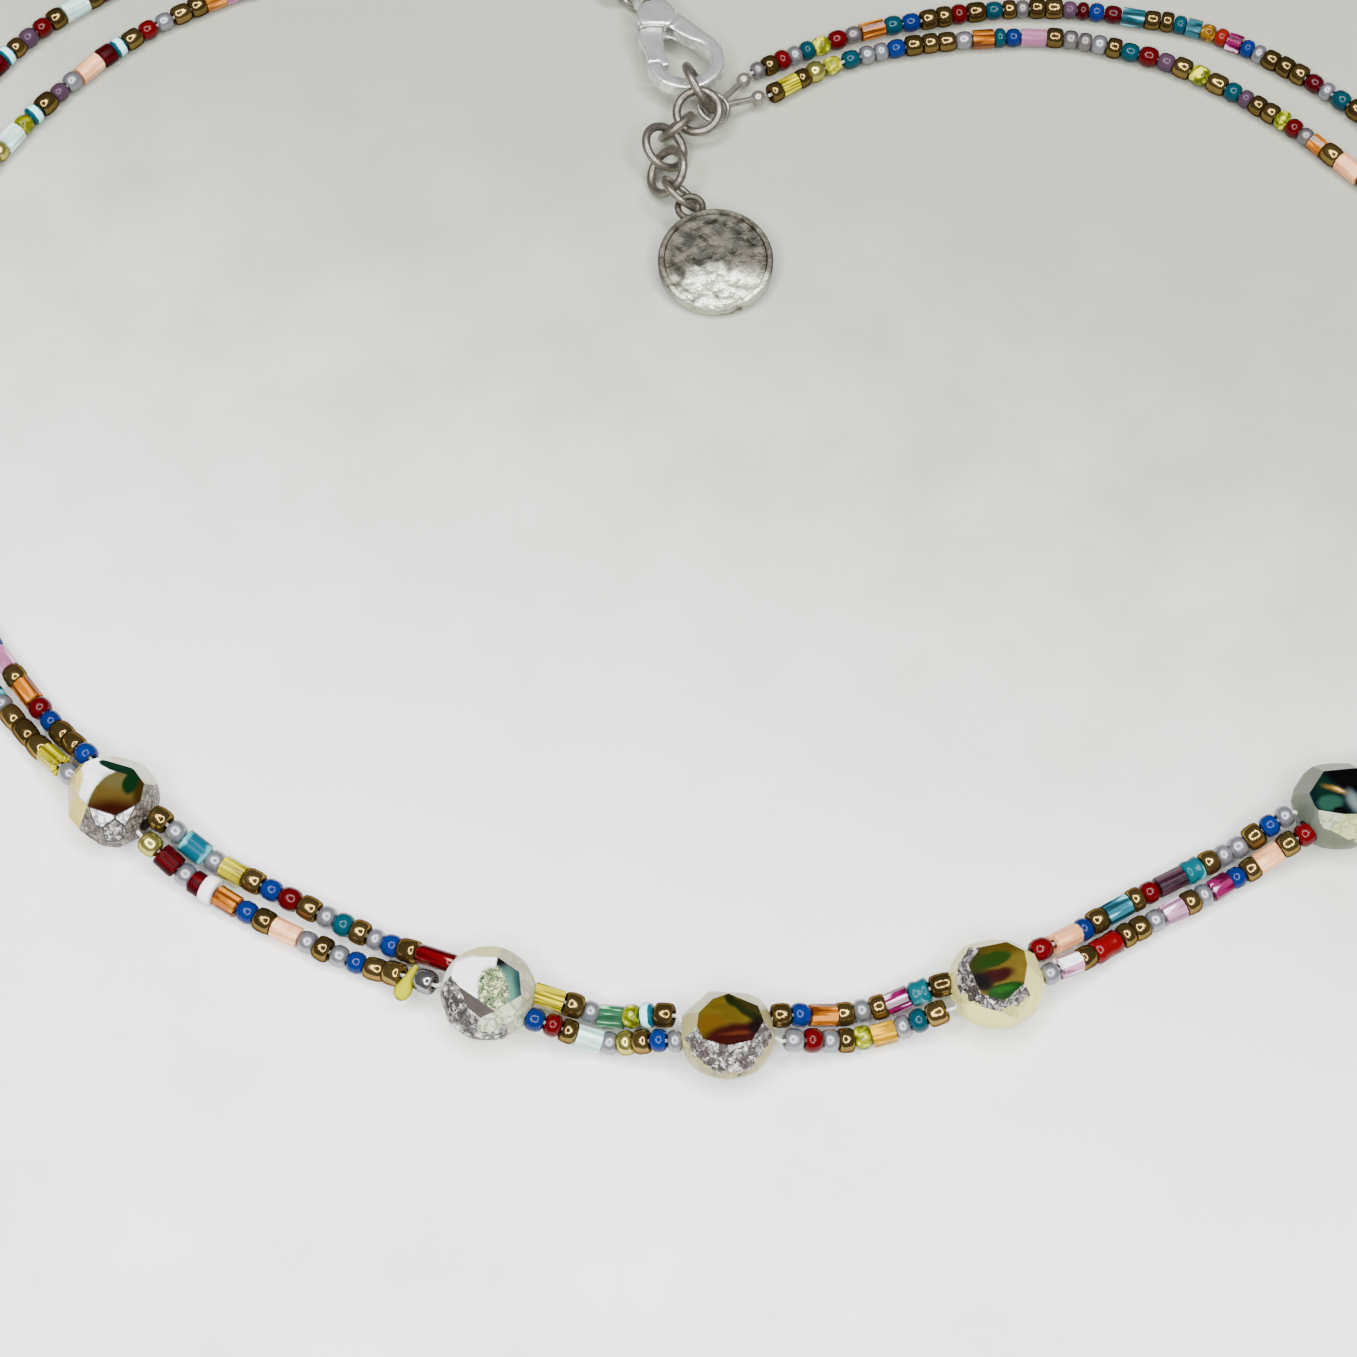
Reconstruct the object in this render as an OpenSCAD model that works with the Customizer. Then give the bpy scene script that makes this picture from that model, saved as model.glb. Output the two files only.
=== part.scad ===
// Two-string beaded choker, lying fastened on a flat surface.
// Millimetres. The surface is z = 0, the front of the loop is towards -Y,
// and the clasp is at the back, towards +Y.

/* [Seed strings] */
// Diameter of a string of seed beads
seed_d = 2.04; // [1.8:0.02:2.1]
// Diameter of the bundle of thread inside the beads
thread_d = 0.4; // [0.3:0.05:0.5]
// Length along the string in which it climbs to a window bead
rise_len = 6.5; // [5:0.5:9]
// Spacing of the sections along a string
section_gap = 5; // [4:0.5:8]

/* [Window beads] */
// Diameter of a window bead over the corners of its girdle
window_d = 7.9; // [7.6:0.1:8.2]
// Thickness between the two flat windows
window_t = 5.6; // [5:0.1:6]
// Distance between opposite sloping facets
crown_w = 6.9; // [6.6:0.1:7]
// Diameter of the drilled hole
window_bore_d = 1.5; // [1.2:0.1:1.8]

/* [Clasp] */
// Outer radius of the hook end
hook_r = 4.1; // [3.8:0.1:4.4]
// Width of the hook's metal, seen from above
hook_w = 1.4; // [1.2:0.1:1.6]
// Thickness of the hook
hook_t = 1.6; // [1.4:0.1:1.8]
// Thickness of the pivot block
block_t = 2.5; // [2.3:0.1:2.8]
// Thickness of the lever
lever_t = 1.1; // [0.9:0.1:1.2]
// Radius of the hinge pin
pin_r = 0.5; // [0.4:0.05:0.55]
// Direction from the clasp's eye to its hook, in degrees
clasp_turn = -70; // [-75:1:-65]

/* [Rings and chain] */
// Wire of the chain links and of the ring in the hook
link_wire = 0.9; // [0.7:0.1:1]
// Wire of the small loops at the ends of the strings
loop_wire = 0.5; // [0.45:0.05:0.6]
// Radius of those loops, to the middle of the wire
loop_r = 1.6; // [1.55:0.05:1.7]
// Radius of the crimp cover beside each loop
crimp_r = 0.8; // [0.7:0.05:0.85]

/* [Charm] */
// Diameter of the coin charm
coin_d = 11.5; // [11:0.1:12]
// Thickness of the coin
coin_t = 1.0; // [0.8:0.1:1.2]
// Height of the raised rim on each face
coin_rim_h = 0.15; // [0.1:0.05:0.25]
// How far the coin's far edge is propped up by its ring, in degrees
coin_tilt = 10; // [6:1:12]

/* [Hidden] */
$fn = 48;

seed_r = seed_d / 2;
thread_r = thread_d / 2;
window_h = window_t / 2;
gap = 0.1;

// Route of the pair of strings, from the clasp's eye round the left side, the front
// and the right side to the ring in the hook.
// Columns: x, y, half the distance between the two strings, 1 at a window bead
route = [
    [-14, 60.5, 1.6, 0], [-20, 62.5, 1.6, 0], [-29, 64.5, 2, 0], [-39, 64, 2.5, 0],
    [-49, 61, 3.2, 0], [-57, 57.5, 3.7, 0], [-63.5, 53, 3.8, 0], [-70, 46.5, 4, 0],
    [-76, 37, 3.6, 0], [-80, 26, 3, 0], [-81.5, 13, 2.4, 0], [-80.5, 0, 2, 0],
    [-77, -11, 1.8, 0], [-71.5, -20, 1.6, 0], [-65.5, -28, 1.3, 0], [-59.5, -35, 1.15, 0],
    [-53, -41.5, 1.15, 1], [-48, -45.5, 1.15, 0], [-43.5, -48.5, 1.3, 0], [-38, -51.5, 1.4, 0],
    [-32, -54.5, 1.35, 0], [-26, -57, 1.15, 0], [-19.5, -60, 1.15, 1], [-14, -61.5, 1.15, 0],
    [-9.5, -62.5, 1.2, 0], [-4.5, -63, 1.15, 0], [0.5, -63.5, 1.15, 1], [5.5, -63, 1.15, 0],
    [12, -62, 1.2, 0], [18, -60.5, 1.15, 0], [23.5, -59, 1.15, 1], [28.5, -56.5, 1.15, 0],
    [34, -53, 1.2, 0], [39.5, -50, 1.25, 0], [45, -47, 1.15, 0], [49.5, -44.5, 1.15, 0],
    [54.5, -42, 1.15, 1], [60, -38.5, 1.2, 0], [67.5, -32.5, 1.5, 0], [74, -24, 1.8, 0],
    [78.5, -14, 2, 0], [80.5, -3, 2.2, 0], [80.5, 8, 2.5, 0], [78, 19, 2.9, 0],
    [73.5, 27.5, 3.2, 0], [67.5, 34.5, 3.3, 0], [60, 42, 3.2, 0], [51.5, 48, 3, 0],
    [44.5, 50.5, 2.5, 0], [37.5, 52, 2.1, 0], [30.5, 52, 2, 0], [23.5, 51, 1.7, 0],
    [17, 49.5, 1.6, 0], [11, 47, 1.5, 0], [5, 43.5, 1.8, 0]];
last_row = len(route) - 1;
window_rows = [for (i = [0 : last_row]) if (route[i][3] == 1) i];
windows = [for (i = window_rows) route[i]];

// The string is bare thread inside a window bead, and beads start this far from its middle
neck_len = 4.25;
thread_split = 0.25;
split_from = 3.6;
split_len = 0.3;
section_sides = 8;

function row(i) = route[max(0, min(last_row, i))];
function blend4(a, b, c, d, t) =
    0.5 * (2 * b + (c - a) * t + (2 * a - 5 * b + 4 * c - d) * t * t + (3 * b - a - 3 * c + d) * t * t * t);
function on_route(u) = let (i = min(floor(u), last_row - 1))
    blend4(row(i - 1), row(i), row(i + 1), row(i + 2), u - i);
function flat(p) = [p[0], p[1]];
function unit(v) = v / norm(v);
function heading(u) = unit(flat(on_route(u + 0.01)) - flat(on_route(u - 0.01)));
function window_gap(p) = min([for (w = windows) norm(flat(p) - flat(w))]);
function ease(t) = let (s = max(0, min(1, t))) s * s * (3 - 2 * s);
function string_h(d) = seed_r + 0.02 + (window_h - seed_r - 0.02) * ease(1 - (d - neck_len) / rise_len);
function half_gap(p, d) = thread_split + (p[2] - thread_split) * ease((d - split_from) / split_len);

// A point on one string: side is 1 for the outer string and -1 for the inner one
function string_point(u, side) =
    let (p = on_route(u), h = heading(u), d = window_gap(p), s = side * half_gap(p, d))
    [p[0] + s * h[1], p[1] - s * h[0], string_h(d)];

// Sections of a string as [place on the route, radius]
function leg(i) = let (
        a = route[i], b = route[i + 1], len_mm = norm(flat(b) - flat(a)),
        fa = a[3] * neck_len / len_mm, fb = b[3] * neck_len / len_mm,
        steps = max(1, round(len_mm * (1 - fa - fb) / section_gap)))
    concat(
        fa > 0 ? [[i, thread_r], [i + 0.85 * fa, thread_r], [i + 0.99 * fa, thread_r]] : [],
        [for (k = [0 : steps - (fb > 0 ? 0 : 1)]) [i + fa + (1 - fa - fb) * k / steps, seed_r]],
        fb > 0 ? [[i + 1 - 0.99 * fb, thread_r], [i + 1 - 0.85 * fb, thread_r]] : []);
sections = concat([for (i = [0 : last_row - 1]) each leg(i)], [[last_row, seed_r]]);

module string(side) {
    mids = [for (s = sections) string_point(s[0], side)];
    count = len(sections);
    points = [for (k = [0 : count - 1]) let (
            along = unit(mids[min(count - 1, k + 1)] - mids[max(0, k - 1)]),
            across = unit([along[1], -along[0], 0]), up = cross(across, along))
        for (a = [0 : section_sides - 1]) let (angle = 360 * a / section_sides)
            mids[k] + sections[k][1] * (cos(angle) * across + sin(angle) * up)];
    sides = [for (k = [0 : count - 2], a = [0 : section_sides - 1]) let (b = (a + 1) % section_sides)
        [k * section_sides + a, (k + 1) * section_sides + a, (k + 1) * section_sides + b, k * section_sides + b]];
    start_cap = [for (a = [0 : section_sides - 1]) a];
    end_cap = [for (a = [section_sides - 1 : -1 : 0]) (count - 1) * section_sides + a];
    polyhedron(points, concat([start_cap, end_cap], sides), convexity = 10);
}

module inner_strand() { color("peru") string(-1); }
module outer_strand() { color("goldenrod") string(1); }

// Window beads: a drilled, cut bead with a flat window above and below,
// eight sloping facets round each window and eight round the girdle
window_colours = ["seagreen", "lightsteelblue", "olivedrab", "darkkhaki", "cadetblue"];
module window_bead(i) {
    place = windows[i];
    along = heading(window_rows[i]);
    wide = 2 * window_d;
    color(window_colours[i]) translate([place[0], place[1], window_h]) rotate(atan2(along[1], along[0])) difference() {
        intersection() {
            cylinder(d = window_d, h = window_t, $fn = 8, center = true);
            for_facets() cube([crown_w, wide, crown_w], center = true);
        }
        rotate([0, 90, 0]) cylinder(d = window_bore_d, h = wide, center = true);
    }
}
module for_facets() {
    intersection_for (turn = [22.5 : 45 : 157.5]) rotate([0, 45, turn]) children();
}

// A loop, or ring, of round wire in the XY plane
module wire_ring(r, wire) {
    rotate_extrude() translate([r, 0]) circle(d = wire, $fn = 24);
}
// Turns the X axis to a direction, after a roll about that direction
module aim(direction, roll) {
    flat_len = norm(flat(direction));
    rotate([0, 0, atan2(direction[1], direction[0])])
        rotate([0, -atan2(direction[2], flat_len), 0]) rotate([roll, 0, 0]) children();
}

// Clasp: its own frame has the eye at the origin, the hook along +X and the lever on the -Y side
clasp_eye = [-6.5, 54];
clasp_h = 2.5;
eye_r = 1.9;
eye_bore_r = 1.1;
eye_t = 1.1;
pivot = [3, -0.4];
block_r = 2.1;
hook_c = [9.6, 0.5];
hook_in_r = hook_r - hook_w;
hook_tip_angle = -100;
slot_t = lever_t + 2 * gap;
lever_boss_r = 1.4;
lever_bore_r = pin_r + 0.06;

function turned(v, a) = [v[0] * cos(a) - v[1] * sin(a), v[0] * sin(a) + v[1] * cos(a)];
function clasp_point(v) = clasp_eye + turned(v, clasp_turn);
function polar(r, a) = [r * cos(a), r * sin(a)];
// Corners of the straight flanks between two circles that touch them
function flanks(c1, r1, c2, r2) = let (
        d = c2 - c1, a = atan2(d[1], d[0]), b = acos((r1 - r2) / norm(d)))
    [c1 + polar(r1, a + b), c2 + polar(r2, a + b), c2 + polar(r2, a - b), c1 + polar(r1, a - b)];

module clasp_frame() { translate([clasp_eye[0], clasp_eye[1], clasp_h]) rotate(clasp_turn) children(); }
module plate(t) { translate([0, 0, -t / 2]) linear_extrude(t) children(); }

// Room for the lever's arm, from the pivot block to the hook's tip
gate = [[4.1, -6], [4.1, -1.6], [4.9, 0.2], [6.2, 1.1], hook_c + [-2, 1.6], hook_c,
    hook_c + polar(8, hook_tip_angle)];

module clasp_body() {
    color("gainsboro") clasp_frame() difference() {
        union() {
            plate(hook_t) union() {
                translate(hook_c) circle(hook_r);
                polygon(flanks(pivot, block_r, hook_c, hook_r));
            }
            plate(block_t) translate(pivot) circle(block_r);
            plate(eye_t) union() {
                circle(eye_r);
                polygon([[0, eye_r * 0.8], [pivot[0], eye_r * 0.8], [pivot[0], -eye_r * 0.8], [0, -eye_r * 0.8]]);
            }
        }
        plate(2 * block_t) circle(eye_bore_r);
        plate(2 * block_t) translate(hook_c) circle(hook_in_r);
        plate(2 * block_t) polygon(gate);
        difference() {
            plate(slot_t) union() {
                translate(pivot) circle(lever_boss_r + 3 * gap);
                polygon([pivot + [0, 1.6], [6.2, 1.1], [6, -6], [3.4, -6], pivot + [-1.7, 0]]);
            }
            plate(2 * block_t) translate(pivot) circle(pin_r);
        }
    }
}

module clasp_lever() {
    color("whitesmoke") clasp_frame() difference() {
        union() {
            plate(lever_t) translate(pivot) circle(lever_boss_r);
            plate(lever_t) polygon([pivot + [0.2, 0.9], [5.3, -0.5], [7.4, -1.1], [9.6, -1.3], [9.6, -2],
                [8.85, -2.2], [8.6, -3.3], [6.6, -2.95], [4.9, -3.1], [4.1, -2.9], pivot + [0.1, -0.9]]);
        }
        plate(2 * lever_t) translate(pivot) circle(lever_bore_r);
    }
}

// Ring in the clasp's eye, and ring in the hook. Each stands aslant: its frame has X away from the
// clasp, and the side where the strings hook on is low
clasp_ring_wire = 0.8;
clasp_ring_r = 2.3;
clasp_ring_heading = 135;
clasp_ring_slant = 75;
clasp_ring_c = clasp_eye + polar(clasp_ring_r + 0.3, clasp_ring_heading);
clasp_ring_h = clasp_ring_r * sin(clasp_ring_slant) + clasp_ring_wire / 2 + 0.05;

hook_ring_r = 2.6;
hook_ring_heading = -70;
hook_ring_slant = 65;
hook_ring_back = 0.66;
hook_ring_c = clasp_point(hook_c) + polar(hook_r - hook_w / 2 + hook_ring_back, hook_ring_heading);
hook_ring_h = hook_ring_r * sin(hook_ring_slant) + link_wire / 2 + 0.05;

// A point on the wire of a slanted ring, at an angle from its X direction
function ring_point(c, h, r, turn, slant, a) = let (
        p = turned([r * cos(a), r * sin(a) * cos(slant)], turn))
    [c[0] + p[0], c[1] + p[1], h - r * sin(a) * sin(slant)];
function on_clasp_ring(a) =
    ring_point(clasp_ring_c, clasp_ring_h, clasp_ring_r, clasp_ring_heading, clasp_ring_slant, a);
function on_hook_ring(a) =
    ring_point(hook_ring_c, hook_ring_h, hook_ring_r, hook_ring_heading, hook_ring_slant, a);

module slanted_ring(c, h, r, wire, turn, slant) {
    translate([c[0], c[1], h]) rotate([0, 0, turn]) rotate([-slant, 0, 0]) wire_ring(r, wire);
}
module clasp_ring() {
    color("silver")
        slanted_ring(clasp_ring_c, clasp_ring_h, clasp_ring_r, clasp_ring_wire, clasp_ring_heading, clasp_ring_slant);
}
module hook_ring() {
    color("darkgray")
        slanted_ring(hook_ring_c, hook_ring_h, hook_ring_r, link_wire, hook_ring_heading, hook_ring_slant);
}

// The end of a string: a wire loop round a ring's wire at the seat, soldered to a crimp cover
// that ends just short of the first seed bead
module end_loop(seat, string_end, ring_wire, roll) {
    reach = string_end - seat;
    loop_at = loop_r - loop_wire / 2 - ring_wire / 2 - 4.7 * gap;
    crimp_at = norm(reach) - crimp_r - 4.5 * gap;
    color("silver") translate(seat) aim(reach, roll) {
        translate([loop_at, 0, 0]) wire_ring(loop_r, loop_wire);
        translate([crimp_at, 0, 0]) sphere(crimp_r);
        translate([loop_at + loop_r, 0, 0]) rotate([0, 90, 0])
            cylinder(d = loop_wire * 1.4, h = max(gap, crimp_at - loop_at - loop_r));
    }
}

// Chain of round links: each link reaches over the seats at its two ends
link_play = 0.25;
seat_reach = (link_wire + link_play) / 2;
chain_seats = [on_hook_ring(-10) + [0.58, 0.05, 0.06], [-2.9, 37.5, 2.3], [-4.6, 35.6, 2.3], [-5.2, 32.2, 2.1],
    [-4.1, 29, 2.3]];
link_rolls = [-14, 55, -35, 45];

module chain_link(i) {
    from = chain_seats[i];
    to = chain_seats[i + 1];
    color("dimgray") translate((from + to) / 2) aim(to - from, link_rolls[i])
        wire_ring(norm(to - from) / 2 + seat_reach, link_wire);
}

// Charm
coin_c = [0.2, 19.4];
coin_r = coin_d / 2;
coin_h = coin_r * sin(coin_tilt) + (coin_t / 2 + coin_rim_h) * cos(coin_tilt) + 0.02;
charm_eye_angle = 112;
charm_eye_r = 1.25;
charm_eye_wire = 0.7;
charm_eye_at = coin_r + 0.95;
charm_ring_wire = 0.7;
charm_ring_roll = -50;
coin_rim_w = 0.7;

function coin_point(v) =
    [coin_c[0] + v[0], coin_c[1] + v[1] * cos(coin_tilt), coin_h + v[1] * sin(coin_tilt)];
charm_seat = coin_point(polar(charm_eye_at + 0.35, charm_eye_angle));

module coin_charm() {
    color("gray") translate([coin_c[0], coin_c[1], coin_h]) rotate([coin_tilt, 0, 0]) {
        rotate_extrude() polygon([[0, -coin_t / 2], [coin_r - coin_rim_w, -coin_t / 2],
            [coin_r - coin_rim_w + 0.15, -coin_t / 2 - coin_rim_h], [coin_r - 0.15, -coin_t / 2 - coin_rim_h],
            [coin_r, -coin_t / 2], [coin_r, coin_t / 2], [coin_r - 0.15, coin_t / 2 + coin_rim_h],
            [coin_r - coin_rim_w + 0.15, coin_t / 2 + coin_rim_h], [coin_r - coin_rim_w, coin_t / 2],
            [0, coin_t / 2]]);
        rotate(charm_eye_angle) translate([charm_eye_at, 0, 0]) wire_ring(charm_eye_r, charm_eye_wire);
    }
}

module charm_ring() {
    from = chain_seats[4];
    reach = norm(charm_seat - from) + (link_wire + charm_ring_wire) / 2 + gap;
    color("silver") translate((from + charm_seat) / 2) aim(charm_seat - from, charm_ring_roll)
        wire_ring(reach / 2, charm_ring_wire);
}

for (i = [0 : 4]) {
    window_bead(i);
}
inner_strand();
outer_strand();
end_loop(on_clasp_ring(30), string_point(0, -1), clasp_ring_wire, 0);  // end_loop_inner_left
end_loop(on_clasp_ring(5), string_point(0, 1), clasp_ring_wire, 0);  // end_loop_outer_left
end_loop(on_hook_ring(13), string_point(last_row, -1), link_wire, 17);  // end_loop_inner_right
end_loop(on_hook_ring(38), string_point(last_row, 1), link_wire, 29);  // end_loop_outer_right
clasp_body();
clasp_lever();
clasp_ring();
hook_ring();
for (i = [0 : 3]) {
    chain_link(i);
}
charm_ring();
coin_charm();
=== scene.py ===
import math
import random

import bpy
from mathutils import Matrix, Vector


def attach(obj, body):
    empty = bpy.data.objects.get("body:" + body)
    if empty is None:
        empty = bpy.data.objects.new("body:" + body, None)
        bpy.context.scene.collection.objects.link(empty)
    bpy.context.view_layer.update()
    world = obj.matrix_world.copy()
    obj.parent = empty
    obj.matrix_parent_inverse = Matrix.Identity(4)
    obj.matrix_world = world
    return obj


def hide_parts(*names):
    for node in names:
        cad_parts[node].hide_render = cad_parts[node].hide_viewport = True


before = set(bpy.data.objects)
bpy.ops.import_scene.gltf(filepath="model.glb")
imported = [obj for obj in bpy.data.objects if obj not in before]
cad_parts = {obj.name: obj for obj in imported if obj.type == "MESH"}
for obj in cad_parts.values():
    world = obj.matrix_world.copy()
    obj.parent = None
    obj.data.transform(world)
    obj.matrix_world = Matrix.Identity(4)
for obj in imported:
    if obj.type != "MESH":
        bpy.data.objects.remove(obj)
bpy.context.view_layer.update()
mm = 0.001
weldDistance = 0.001
rng = random.Random(41)
print("frame loaded")


# camera, over the front of the loop and looking down at the clasp side
camera = {"place": (-0.0035, -0.147, 0.2067), "pitch": 30, "lens": 69.3}
bpy.ops.object.camera_add(location=camera["place"], rotation=(math.radians(camera["pitch"]), 0, 0))
eye = bpy.context.object
eye.name = "camera"
eye.data.lens = camera["lens"]
eye.data.sensor_width = 36
eye.data.clip_start = 0.01
bpy.context.scene.camera = eye


# small helpers for working on one object at a time
def setMode(mode):
    bpy.ops.object.mode_set(mode=mode)


def takeOnly(obj):
    if bpy.context.object and bpy.context.object.mode != "OBJECT":
        setMode("OBJECT")
    bpy.ops.object.select_all(action="DESELECT")
    obj.select_set(True)
    bpy.context.view_layer.objects.active = obj


def applyPlace(obj):
    takeOnly(obj)
    bpy.ops.object.transform_apply(location=True, rotation=True, scale=True)


def applyModifiers(obj):
    takeOnly(obj)
    for modifier in list(obj.modifiers):
        bpy.ops.object.modifier_apply(modifier=modifier.name)


def coat(obj, material):
    obj.data.materials.clear()
    obj.data.materials.append(material)


def joinAll(objects, name):
    takeOnly(objects[0])
    for obj in objects:
        obj.select_set(True)
    if len(objects) > 1:
        bpy.ops.object.join()
    joined = bpy.context.object
    joined.name = name
    joined.data.name = name
    applyPlace(joined)
    return joined


# node helpers: each input takes a value, or the output of another node that is linked to it
def fillInputs(tree, node, inputs):
    for key, value in inputs.items():
        if isinstance(value, bpy.types.NodeSocket):
            tree.links.new(value, node.inputs[key])
        else:
            node.inputs[key].default_value = value


def addNode(tree, kind, inputs=None, **settings):
    node = tree.nodes.new("ShaderNode" + kind)
    for key, value in settings.items():
        setattr(node, key, value)
    fillInputs(tree, node, inputs or {})
    return node


def maths(tree, operation, *values, **settings):
    return addNode(tree, "Math", dict(enumerate(values)), operation=operation, **settings).outputs[0]


def vectorMaths(tree, operation, *values, **named):
    node = addNode(tree, "VectorMath", {**dict(enumerate(values)), **named}, operation=operation)
    return node.outputs["Value" if operation in ("LENGTH", "DOT_PRODUCT") else "Vector"]


def mapRange(tree, value, fromMin=0.0, fromMax=1.0, toMin=0.0, toMax=1.0, **settings):
    return addNode(tree, "MapRange", {"Value": value, "From Min": fromMin, "From Max": fromMax,
                                      "To Min": toMin, "To Max": toMax}, **settings).outputs[0]


def softStep(tree, value, start, end, low=0.0, high=1.0):
    return mapRange(tree, value, start, end, low, high, interpolation_type="SMOOTHSTEP")


def noise(tree, point, scale, detail=2.0, roughness=0.5):
    return addNode(tree, "TexNoise", {"Vector": point, "Scale": scale, "Detail": detail,
                                      "Roughness": roughness})


def cells(tree, point, scale, feature):
    return addNode(tree, "TexVoronoi", {"Vector": point, "Scale": scale}, feature=feature)


def mixColour(tree, factor, first, second):
    mix = addNode(tree, "Mix", {"Factor": factor, "A": first, "B": second}, data_type="RGBA")
    return mix.outputs["Result"]


def bumped(tree, height, strength, distance):
    bump = addNode(tree, "Bump", {"Height": height, "Strength": strength, "Distance": distance})
    return bump.outputs["Normal"]


def colour4(rgb):
    return (rgb[0], rgb[1], rgb[2], 1.0)


# two shades of a colour, as far apart as the swing says
def shades(rgb, swing):
    return colour4([c * (1 - swing) for c in rgb]), colour4([min(1, c * (1 + swing)) for c in rgb])


# a point pushed about by a cloud of noise
def pushPoint(tree, point, cloud, amount):
    centred = vectorMaths(tree, "SUBTRACT", cloud.outputs["Color"], (0.5, 0.5, 0.5))
    return vectorMaths(tree, "ADD", point, vectorMaths(tree, "SCALE", centred, Scale=amount))


def bentPoint(tree, point, amount):
    return pushPoint(tree, point, noise(tree, point, 0.9, 3.0), amount)


def newGroup(name, inputs, outputs):
    tree = bpy.data.node_groups.new(name, "ShaderNodeTree")
    kinds = {"f": "NodeSocketFloat", "v": "NodeSocketVector", "c": "NodeSocketColor"}
    for label, kind, value in inputs:
        socket = tree.interface.new_socket(label, in_out="INPUT", socket_type=kinds[kind])
        if value is not None:
            socket.default_value = value
    for label, kind in outputs:
        tree.interface.new_socket(label, in_out="OUTPUT", socket_type=kinds[kind])
    return tree, tree.nodes.new("NodeGroupInput").outputs, tree.nodes.new("NodeGroupOutput")


# group: how far a point is inside a soft ellipse, from 0 to 1
def makePatchGroup():
    tree, given, end = newGroup("soft patch", [
        ("Point", "v", None), ("Centre", "v", (0, 0, 0)), ("Radii", "v", (1, 1, 1)),
        ("Turn", "f", 0), ("Softness", "f", 0.1)], [("Mask", "f")])
    away = vectorMaths(tree, "SUBTRACT", given["Point"], given["Centre"])
    turned = addNode(tree, "VectorRotate", {"Vector": away, "Angle": given["Turn"]}, rotation_type="Z_AXIS")
    flat = vectorMaths(tree, "MULTIPLY", turned.outputs[0], (1, 1, 0))
    length = vectorMaths(tree, "LENGTH", vectorMaths(tree, "DIVIDE", flat, given["Radii"]))
    inner = maths(tree, "SUBTRACT", 1.0, given["Softness"])
    outer = maths(tree, "ADD", 1.0, given["Softness"])
    fillInputs(tree, end, {"Mask": softStep(tree, length, inner, outer, 1.0, 0.0)})
    return tree


# group: crackled silver foil, with dark cracks between wrinkled flakes that lie in brighter and duller zones
def makeCrackleGroup():
    tree, given, end = newGroup("foil crackle", [
        ("Point", "v", None), ("Flake", "f", 1.7), ("Bright", "c", colour4((0.8, 0.8, 0.79))),
        ("Dull", "c", colour4((0.12, 0.1, 0.09))), ("Crack", "c", colour4((0.02, 0.014, 0.012))),
        ("Shine", "f", 0.5)], [("Color", "c"), ("Roughness", "f"), ("Height", "f")])
    wobble = noise(tree, given["Point"], 2.2, 3.0)
    bent = pushPoint(tree, given["Point"], wobble, 0.75)
    flakes = cells(tree, bent, given["Flake"], "F1")
    cracks = cells(tree, bent, given["Flake"], "DISTANCE_TO_EDGE")
    wrinkles = cells(tree, bent, maths(tree, "MULTIPLY", given["Flake"], 2.3), "DISTANCE_TO_EDGE")
    zones = mapRange(tree, noise(tree, bent, 1.0, 4.0, 0.7).outputs[0], 0.38, 0.62, 0.0, 0.8)
    crackWidth = mapRange(tree, wobble.outputs[0], 0.35, 0.65, 0.2, 0.035)
    onFlake = mapRange(tree, cracks.outputs["Distance"], 0.02, crackWidth)
    offWrinkle = mapRange(tree, wrinkles.outputs["Distance"], 0.0, 0.09, 0.25)
    flakeTone = addNode(tree, "SeparateColor", {0: flakes.outputs["Color"]}).outputs[0]
    tone = mapRange(tree, maths(tree, "MULTIPLY_ADD", flakeTone, 0.7, zones), 0.45, 1.15)
    lifted = maths(tree, "ADD", tone, given["Shine"], use_clamp=True)
    toned = maths(tree, "MULTIPLY", maths(tree, "POWER", lifted, 1.7), offWrinkle)
    base = mixColour(tree, toned, given["Dull"], given["Bright"])
    fillInputs(tree, end, {
        "Color": mixColour(tree, onFlake, given["Crack"], base),
        "Roughness": mapRange(tree, toned, toMin=0.6, toMax=0.25),
        "Height": maths(tree, "MULTIPLY_ADD", onFlake, 0.6, toned)})
    return tree


patchGroup = makePatchGroup()
crackleGroup = makeCrackleGroup()


def newMaterial(name):
    material = bpy.data.materials.new(name)
    material.use_nodes = True
    tree = material.node_tree
    shader = next(n for n in tree.nodes if n.type == "BSDF_PRINCIPLED")
    return material, tree, shader


def setShader(tree, shader, **values):
    fillInputs(tree, shader, {key.replace("_", " "): value for key, value in values.items()})


# object coordinates in millimetres, counted from a centre given in millimetres
def pointInMm(tree, centre=(0, 0, 0)):
    place = addNode(tree, "TexCoord").outputs["Object"]
    return addNode(tree, "Mapping", {"Vector": place, "Location": (-centre[0], -centre[1], -centre[2]),
                                     "Scale": (1 / mm, 1 / mm, 1 / mm)}).outputs["Vector"]


def softPatch(tree, point, centre, radii, turn, softness):
    return addNode(tree, "Group", {
        "Point": point, "Centre": (centre[0], centre[1], 0), "Radii": (radii[0], radii[1], 1),
        "Turn": math.radians(-turn), "Softness": softness}, node_tree=patchGroup).outputs["Mask"]


# how far a point lies from a place, seen from above
def distanceFrom(tree, point, place=(0, 0)):
    away = vectorMaths(tree, "SUBTRACT", point, (place[0], place[1], 0))
    return vectorMaths(tree, "LENGTH", vectorMaths(tree, "MULTIPLY", away, (1, 1, 0)))


# a colour that takes the place of another where a mask is high
def layColour(tree, colour, rgb, mask, strength=1.0):
    amount = maths(tree, "MULTIPLY", mask, strength, use_clamp=True)
    return mixColour(tree, amount, colour, colour4(rgb))


def layPatches(tree, colour, point, patches):
    for rgb, centre, radii, turn, softness in patches:
        mask = softPatch(tree, point, centre, radii, turn, softness)
        colour = mixColour(tree, mask, colour, colour4(rgb))
    return colour


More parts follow.
